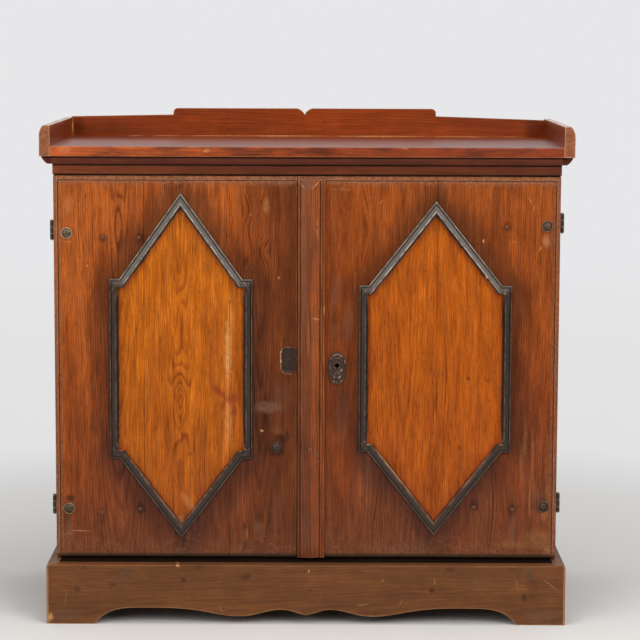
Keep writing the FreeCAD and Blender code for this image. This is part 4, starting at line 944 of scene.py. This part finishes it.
def disc(name, x, y, z, radius, depth, sides=32, stretch=1.0, towards="front"):
    # a flat disc standing on the plane y (or x for a side), its outer face away from the wood
    sign = {"front": -1, "back": 1, "left": -1, "right": 1}[towards]
    if towards in ("front", "back"):
        spin, middle = (math.pi / 2, 0, 0), (x, y + sign * depth / 2, z)
    else:
        spin, middle = (0, math.pi / 2, 0), (x + sign * depth / 2, y, z)
    return begin("cylinder", name, vertices=sides, radius=radius, depth=depth, location=middle,
                 rotation=spin, scale=(1, stretch, 1))


def pick(piece, test):
    # in edit mode: the faces whose middle and normal pass the test
    bpy.ops.mesh.select_mode(type="FACE")
    bpy.ops.mesh.select_all(action="DESELECT")
    shape = bmesh.from_edit_mesh(piece.data)
    for face in shape.faces:
        face.select_set(test(face.calc_center_median(), face.normal))
    bmesh.update_edit_mesh(piece.data)


def terrace(steps):
    # from the chosen face: inwards by so much, outwards from the wood by so much
    for inwards, rise in steps:
        bpy.ops.mesh.inset(thickness=inwards, depth=rise, use_boundary=True)


def push(shift):
    bpy.ops.mesh.extrude_region_move(TRANSFORM_OT_translate={"value": shift})


def facesRoom(spot, way):
    return way.y < -0.9


def facesBack(spot, way):
    return way.y > 0.9


def raiseFace(piece, steps, test=facesRoom):
    # raises the faces that pass the test in steps; leaves the piece in object mode
    bpy.ops.object.mode_set(mode="EDIT")
    pick(piece, test)
    terrace(steps)
    bpy.ops.object.mode_set(mode="OBJECT")


def complete(piece, material, body, *stoodFor):
    choose(piece)
    bpy.ops.object.mode_set(mode="EDIT")
    bpy.ops.mesh.select_all(action="SELECT")
    bpy.ops.mesh.normals_make_consistent(inside=False)
    bpy.ops.object.mode_set(mode="OBJECT")
    bpy.ops.object.shade_smooth_by_angle(angle=math.radians(38))
    piece.data.materials.clear()
    piece.data.materials.append(material)
    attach(piece, body)
    if stoodFor:
        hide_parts(*stoodFor)
    return piece


def copyOf(source, name, shift, turn, centre, axis="Y"):
    choose(source)
    bpy.ops.object.duplicate()
    piece = bpy.context.object
    piece.name = piece.data.name = name
    bpy.ops.object.mode_set(mode="EDIT")
    bpy.ops.mesh.select_all(action="SELECT")
    bpy.ops.transform.rotate(value=turn, orient_axis=axis, center_override=centre)
    bpy.ops.transform.translate(value=shift)
    bpy.ops.object.mode_set(mode="OBJECT")
    return piece


def together(name, pieces):
    choose(*pieces)
    if len(pieces) > 1:
        bpy.ops.object.join()
    joined = bpy.context.object
    joined.name = joined.data.name = name
    return joined


def carve(piece, *cutters):
    choose(piece)
    for cutter in cutters:
        cut = piece.modifiers.new("cut", "BOOLEAN")
        cut.operation = "DIFFERENCE"
        cut.solver = "EXACT"
        cut.object = cutter
        bpy.ops.object.modifier_apply(modifier="cut")


def discard(*pieces):
    choose(*pieces)
    bpy.ops.object.delete()


facePlane, backPlane = -0.1935, -0.1695    # the doors' front and back, in metres

# strap rivets: a rolled rim round a head hammered into petals
rivetShape = dict(
    radius=0.012, base=0.0010, sides=40, petals=5, notch=0.0013, notchFrom=0.0036, notchTo=0.0088,
    rim=[(0.0007, 0.0008), (0.0012, 0.0), (0.0008, -0.0013)],
    dome=[(0.0014, 0.0019), (0.0020, 0.0013), (0.0022, 0.0007), (0.0014, 0.0003)], shank=0.004,
    end=0.0005)
rivetPlaces = {"left": [(-0.497, 0.234), (-0.497, 0.8125)], "right": [(0.497, 0.2405), (0.497, 0.830)]}


def hammeredHead(piece, shape, x, z):
    # hammers the disc's front face into petals; leaves the piece in edit mode
    bpy.ops.object.mode_set(mode="EDIT")
    pick(piece, facesRoom)
    terrace(shape["rim"] + shape["dome"])
    sector = 2 * math.pi / shape["petals"]

    def inNotch(spot, way):
        away = math.hypot(spot.x - x, spot.z - z)
        angle = math.atan2(spot.z - z, spot.x - x) % sector
        return way.y < -0.15 and shape["notchFrom"] < away < shape["notchTo"] and angle < sector * 0.27
    pick(piece, inNotch)
    bpy.ops.transform.translate(value=(0, shape["notch"], 0))


firstX, firstZ = rivetPlaces["left"][0]
rivet = disc("rivet", firstX, facePlane, firstZ, rivetShape["radius"], rivetShape["base"],
             rivetShape["sides"])
hammeredHead(rivet, rivetShape, firstX, firstZ)
pick(rivet, facesBack)
bpy.ops.mesh.inset(thickness=rivetShape["radius"] - rivetShape["shank"], depth=0)
push((0, backPlane - facePlane, 0))
terrace([(0.0012, rivetShape["end"])])
bpy.ops.object.mode_set(mode="OBJECT")
turnBy = 0.0
for side, places in rivetPlaces.items():
    heads = []
    for x, z in places:
        turnBy += 0.9
        heads.append(copyOf(rivet, "rivet", (x - firstX, 0, z - firstZ), turnBy,
                            (firstX, facePlane, firstZ)))
    complete(together(side + "StrapRivets", heads), rivetMetal if side == "left" else dullRivet,
             side + "_door", side + "_door_rivets")
discard(rivet)

# boss of the turn button, with its pivot, collar and riveted end behind the door
bossShape = dict(
    radius=0.0115, base=0.0009, sides=36, petals=3, notch=0.0012, notchFrom=0.0030, notchTo=0.0072,
    rim=[(0.0006, 0.0006), (0.0013, 0.0), (0.0009, -0.0009)],
    dome=[(0.0012, 0.0018), (0.0018, 0.0011), (0.0022, 0.0005), (0.0012, 0.0002)], place=(-0.062, 0.365),
    pivot=0.004, behind=[(0.009, 0.0058), (0.004, 0.0044), (0.0075, 0.0028)])
bossX, bossZ = bossShape["place"]
boss = disc("turnButtonBoss", bossX, facePlane, bossZ, bossShape["radius"], bossShape["base"],
            bossShape["sides"])
hammeredHead(boss, bossShape, bossX, bossZ)
pick(boss, facesBack)
bpy.ops.mesh.inset(thickness=bossShape["radius"] - bossShape["pivot"], depth=0)
push((0, backPlane - facePlane, 0))
reach, wide = backPlane, bossShape["pivot"]
for radius, length in bossShape["behind"]:
    push((0, 0, 0))
    bpy.ops.transform.resize(value=(radius / wide, 1, radius / wide), center_override=(bossX, reach, bossZ))
    push((0, length, 0))
    reach, wide = reach + length, radius
terrace([(0.0016, 0.0)])
bpy.ops.object.mode_set(mode="OBJECT")
complete(boss, darkIron, "left_door", "button_pivot")

# key plate: oval with a rolled rim, a collar round the keyhole and a scroll below it
plateShape = dict(
    x=0.0633, z=0.5319, half=0.0195, tall=0.035, thick=0.0018,
    rim=[(0.0006, 0.0014), (0.0005, 0.0006), (0.0013, 0.0), (0.0006, -0.0008), (0.0006, -0.0011)],
    keyX=0.0633, keyZ=0.5386, keyRadius=0.0055, slot=0.004, slotLength=0.013, collar=0.0092,
    collarRise=[(0.0008, 0.0007), (0.0014, 0.0)])
keyX, keyZ = plateShape["keyX"], plateShape["keyZ"]
plate = disc("keyPlate", plateShape["x"], facePlane, plateShape["z"], plateShape["half"],
             plateShape["thick"], 64, plateShape["tall"] / plateShape["half"])
raiseFace(plate, plateShape["rim"])
collar = disc("keyCollar", keyX, facePlane - 0.0006, keyZ, plateShape["collar"], 0.0022, 36)
raiseFace(collar, plateShape["collarRise"])
hole = disc("keyRound", keyX, facePlane + 0.004, keyZ, plateShape["keyRadius"], 0.012, 32)
slotPiece = begin("cube", "keySlot", size=1,
                  location=(keyX, facePlane - 0.002, keyZ - plateShape["slotLength"] / 2),
                  scale=(plateShape["slot"], 0.014, plateShape["slotLength"]))
carve(plate, hole, slotPiece)
carve(collar, hole, slotPiece)
discard(hole, slotPiece)
complete(plate, keyIron, "right_door", "escutcheon")
complete(collar, keyIron, "right_door")

# two strands that start right of the keyhole, sweep down to the left and curl back
strands = [dict(start=(0.0735, 0.5325), wire=0.00115,
                arcs=[((0.0730, 0.5165), 92, 12), ((0.0636, 0.5160), 215, 18)]),
           dict(start=(0.0752, 0.5285), wire=0.00100,
                arcs=[((0.0748, 0.5165), 90, 10), ((0.0662, 0.5160), 200, 14)])]
scroll = []
for strand in strands:
    x, z = strand["start"]
    wire = begin("circle", "strand", vertices=10, radius=strand["wire"], fill_type="NGON",
                 location=(x, facePlane - 0.0024, z), rotation=(0, math.pi / 2, 0))
    bpy.ops.object.mode_set(mode="EDIT")
    bpy.ops.mesh.select_all(action="SELECT")
    for (centreX, centreZ), sweep, steps in strand["arcs"]:
        bpy.ops.mesh.spin(steps=steps, angle=math.radians(sweep), center=(centreX, facePlane, centreZ),
                          axis=(0, 1, 0))
    bpy.ops.mesh.select_all(action="SELECT")
    bpy.ops.mesh.remove_doubles(threshold=0.00001)
    bpy.ops.object.mode_set(mode="OBJECT")
    scroll.append(wire)
complete(together("keyPlateScroll", scroll), keyIron, "right_door")

# keeper plate on the left door: rounded on the left, a raised lip and a riveted stud
keeperLow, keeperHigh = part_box("keeper_plate")
keeperShape = dict(
    corner=0.008, lip=[(0.0009, 0.0), (0.0005, -0.0003), (0.0006, -0.0006), (0.005, -0.0001)],
    stud=(-0.0362, 0.5510), studRadius=0.0026, studRise=[(0.0006, 0.0004), (0.0009, 0.0001)])
middle = (keeperLow + keeperHigh) / 2
keeper = begin("cube", "keeperOuterPlate", size=1, location=middle, scale=keeperHigh - keeperLow)
bpy.ops.object.mode_set(mode="EDIT")
bpy.ops.mesh.select_mode(type="EDGE")
bpy.ops.mesh.select_all(action="DESELECT")
shape = bmesh.from_edit_mesh(keeper.data)
for edge in shape.edges:
    spot = (edge.verts[0].co + edge.verts[1].co) / 2
    edge.select_set(abs(spot.x - keeperLow.x) < 1e-5 and abs(spot.y - middle.y) < 1e-5)
bmesh.update_edit_mesh(keeper.data)
bpy.ops.mesh.bevel(offset=keeperShape["corner"], segments=7)
pick(keeper, facesRoom)
terrace(keeperShape["lip"])
bpy.ops.object.mode_set(mode="OBJECT")
complete(keeper, plateIron, "left_door", "keeper_plate")
studX, studZ = keeperShape["stud"]
stud = disc("keeperStud", studX, keeperLow.y + 0.0014, studZ, keeperShape["studRadius"], 0.0008, 14)
raiseFace(stud, keeperShape["studRise"])
complete(stud, plateIron, "left_door")

# two pins hold the key plate
pinShape = dict(
    places=[(0.0633, 0.5620), (0.0633, 0.5010)], radius=0.0019, base=0.0010,
    rise=[(0.0006, 0.0004), (0.0007, 0.0001)])
pins = []
for x, z in pinShape["places"]:
    pin = disc("platePin", x, facePlane - 0.0016, z, pinShape["radius"], pinShape["base"], 12)
    raiseFace(pin, pinShape["rise"])
    pins.append(pin)
complete(together("keyPlatePins", pins), keyIron, "right_door")

# forged nails: on the hinge leaves at each side, and through the battens behind the doors
forgedNail = dict(
    radius=0.0036, sides=9, base=0.0005, head=[(0.0004, 0.0004), (0.0012, 0.0006), (0.0010, 0.0003)])


def nailHead(name, x, y, z, towards):
    outward = Vector({"back": (0, 1, 0), "left": (-1, 0, 0), "right": (1, 0, 0)}[towards])
    head = disc(name, x, y, z, forgedNail["radius"], forgedNail["base"], forgedNail["sides"], 1.0, towards)
    raiseFace(head, forgedNail["head"], lambda spot, way: way.dot(outward) > 0.9)
    return head


def nailRow(name, places, towards, material, body, axis="Y"):
    x0, y0, z0 = places[0]
    source = nailHead(name, x0, y0, z0, towards)
    heads = [source]
    for count, (x, y, z) in enumerate(places[1:]):
        heads.append(copyOf(source, name, (x - x0, y - y0, z - z0), 0.5 * (count + 1), (x0, y0, z0), axis))
    return complete(together(name, heads), material, body)


leafNails = dict(outer=0.528, depths=(-0.150, -0.122, -0.092), offsets=(0.007, -0.006, 0.0))
strapMiddles = {"left": (0.238, 0.8165), "right": (0.2445, 0.834)}
for side, sign in (("left", -1), ("right", 1)):
    outer = leafNails["outer"] * sign
    places = [(outer, y, z + offset) for z in strapMiddles[side] for y,
              offset in zip(leafNails["depths"], leafNails["offsets"])]
    nailRow(side + "LeafNails", places, side, iron, "carcase", "X")

battenNails = dict(
    left=(-0.470, -0.362, -0.312, -0.186, -0.134, -0.060),
    right=(0.024, 0.122, 0.246, 0.298, 0.384, 0.470), half=0.0225, stagger=0.010)
for side in ("left", "right"):
    low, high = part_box(side + "_door_battens")
    places = []
    for middleZ in (low.z + battenNails["half"], high.z - battenNails["half"]):
        for count, x in enumerate(battenNails[side]):
            offset = battenNails["stagger"] if count % 2 else -battenNails["stagger"]
            places.append((x, high.y, middleZ + offset))
    nailRow(side + "BattenNails", places, "back", iron, side + "_door")

# slotted screws at the corners of the lock case
lockScrew = dict(radius=0.0034, base=0.0006, head=[(0.0007, 0.0005)], slot=0.0008, inset=0.009)
low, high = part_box("lock_case")
corners = [(x, z) for x in (low.x + lockScrew["inset"], high.x - lockScrew["inset"])
           for z in (low.z + lockScrew["inset"], high.z - lockScrew["inset"])]
screwX, screwZ = corners[0]
screw = disc("lockScrew", screwX, high.y, screwZ, lockScrew["radius"], lockScrew["base"], 20, 1.0, "back")
raiseFace(screw, lockScrew["head"], facesBack)
groove = begin("cube", "screwSlot", size=1, location=(screwX, high.y + 0.0012, screwZ),
               scale=(0.010, 0.0012, lockScrew["slot"]))
carve(screw, groove)
discard(groove)
screws = [screw] + [copyOf(screw, "lockScrew", (x - screwX, 0, z - screwZ), 0.7 * count,
                           (screwX, high.y, screwZ)) for count, (x, z) in enumerate(corners[1:], 1)]
complete(together("lockCaseScrews", screws), darkIron, "right_door")
print("cupboard: ironwork modelled")


# floor, light and camera
studio = dict(
    aim=Vector((0, 0, 0.55)), floor=(222, 220, 217), sky=(231, 231, 233), distant=(226, 226, 227),
    ambient=0.27, frontMirror=0.15, keyPlace=(2.0, -3.2, 2.6), keySize=2.3, keyPower=88.0,
    fillPlace=(-2.3, -3.2, 2.3), fillSize=2.7, fillPower=76.0, topPlace=(0.1, -0.2, 3.2), topSize=2.2,
    topPower=62.0)

bpy.ops.object.select_all(action="DESELECT")
bpy.ops.mesh.primitive_plane_add(size=160, location=(0, 0, 0))
floor = bpy.context.object
floor.name = "floor"
floorMaterial, net, shader = newMaterial("paleFloor", gloss=0.15)
place = millimetres(net)
cloud = net.noise(place, 0.004, 3)
net.put(shader.inputs["Base Color"],
        net.between(cloud, studio["floor"], [c - 4 for c in studio["floor"]]))
shader.inputs["Roughness"].default_value = 0.85
distance = net.vector("LENGTH", net.vector("SUBTRACT", place, (0, 100, 0)))
path = net.add("LightPath").outputs
seen = net.larger(path["Is Camera Ray"], net.larger(path["Is Glossy Ray"], path["Is Transmission Ray"]))
away = net.times(net.ease(distance, 750, 2050), seen)
# reflections see a dimmer floor in front of the cupboard
facing = net.ease(net.split(place)[1], -2500, 0, studio["frontMirror"], 1.0)
level = net.mix(path["Is Glossy Ray"], (1, 1, 1, 1), net.join(facing, facing, facing))
shine = net.add("Emission",
                {"Color": net.between(net.ease(distance, 1500, 9000), studio["distant"], studio["sky"]),
                 "Strength": level})
blend = net.add("MixShader", {0: away, 1: shader.outputs[0], 2: shine.outputs[0]})
net.put(floorMaterial.node_tree.nodes["Material Output"].inputs["Surface"], blend.outputs[0])
floor.data.materials.append(floorMaterial)

world = bpy.data.worlds.new("studioAir")
bpy.context.scene.world = world
world.use_nodes = True
net = Net(world.node_tree)
back = world.node_tree.nodes["Background"]
path = net.add("LightPath").outputs
# reflections see the pale backdrop behind the cupboard and a dimmer room in front of it
ahead = net.split(net.add("TexCoord").outputs["Generated"])[1]
room = net.ease(ahead, -0.15, 0.5, 0.10, 1.0)
mirrored = net.larger(path["Is Glossy Ray"], path["Is Transmission Ray"])
strength = net.mix(mirrored, [studio["ambient"]] * 3 + [1], net.join(room, room, room))
strength = net.mix(path["Is Camera Ray"], strength, (1, 1, 1, 1))
seen = net.larger(path["Is Camera Ray"], mirrored)
net.put(back.inputs["Color"], net.cover((1, 1, 1, 1), seen, studio["sky"]))
net.put(back.inputs["Strength"], strength)


def addLamp(name, place, size, power):
    lamp = bpy.data.lights.new(name, "AREA")
    lamp.shape = "SQUARE"
    lamp.size = size
    lamp.energy = power
    holder = bpy.data.objects.new(name, lamp)
    bpy.context.scene.collection.objects.link(holder)
    holder.location = place
    holder.rotation_euler = (studio["aim"] - Vector(place)).to_track_quat("-Z", "Y").to_euler()


for label in ("key", "fill", "top"):
    addLamp(label + "Lamp", studio[label + "Place"], studio[label + "Size"], studio[label + "Power"])

view = dict(place=(0.025, -5.0685, 1.231), lens=133.1, yaw=0.03, pitch=6.99, roll=0.2)
cameraData = bpy.data.cameras.new("frontCamera")
cameraData.lens = view["lens"]
cameraData.sensor_width = 36
cameraData.clip_end = 60
camera = bpy.data.objects.new("frontCamera", cameraData)
bpy.context.scene.collection.objects.link(camera)
yaw, pitch, roll = [math.radians(view[key]) for key in ("yaw", "pitch", "roll")]
forward = Vector((math.sin(yaw) * math.cos(pitch), math.cos(yaw) * math.cos(pitch), -math.sin(pitch)))
right = Vector((math.cos(yaw), -math.sin(yaw), 0))
above = right.cross(forward)
tiltedRight = math.cos(roll) * right + math.sin(roll) * above
tiltedUp = -math.sin(roll) * right + math.cos(roll) * above
turned = Matrix((tiltedRight, tiltedUp, -forward)).transposed().to_4x4()
camera.matrix_world = Matrix.Translation(view["place"]) @ turned
bpy.context.scene.camera = camera
bpy.context.scene.view_settings.view_transform = "Standard"
print("cupboard: studio ready")
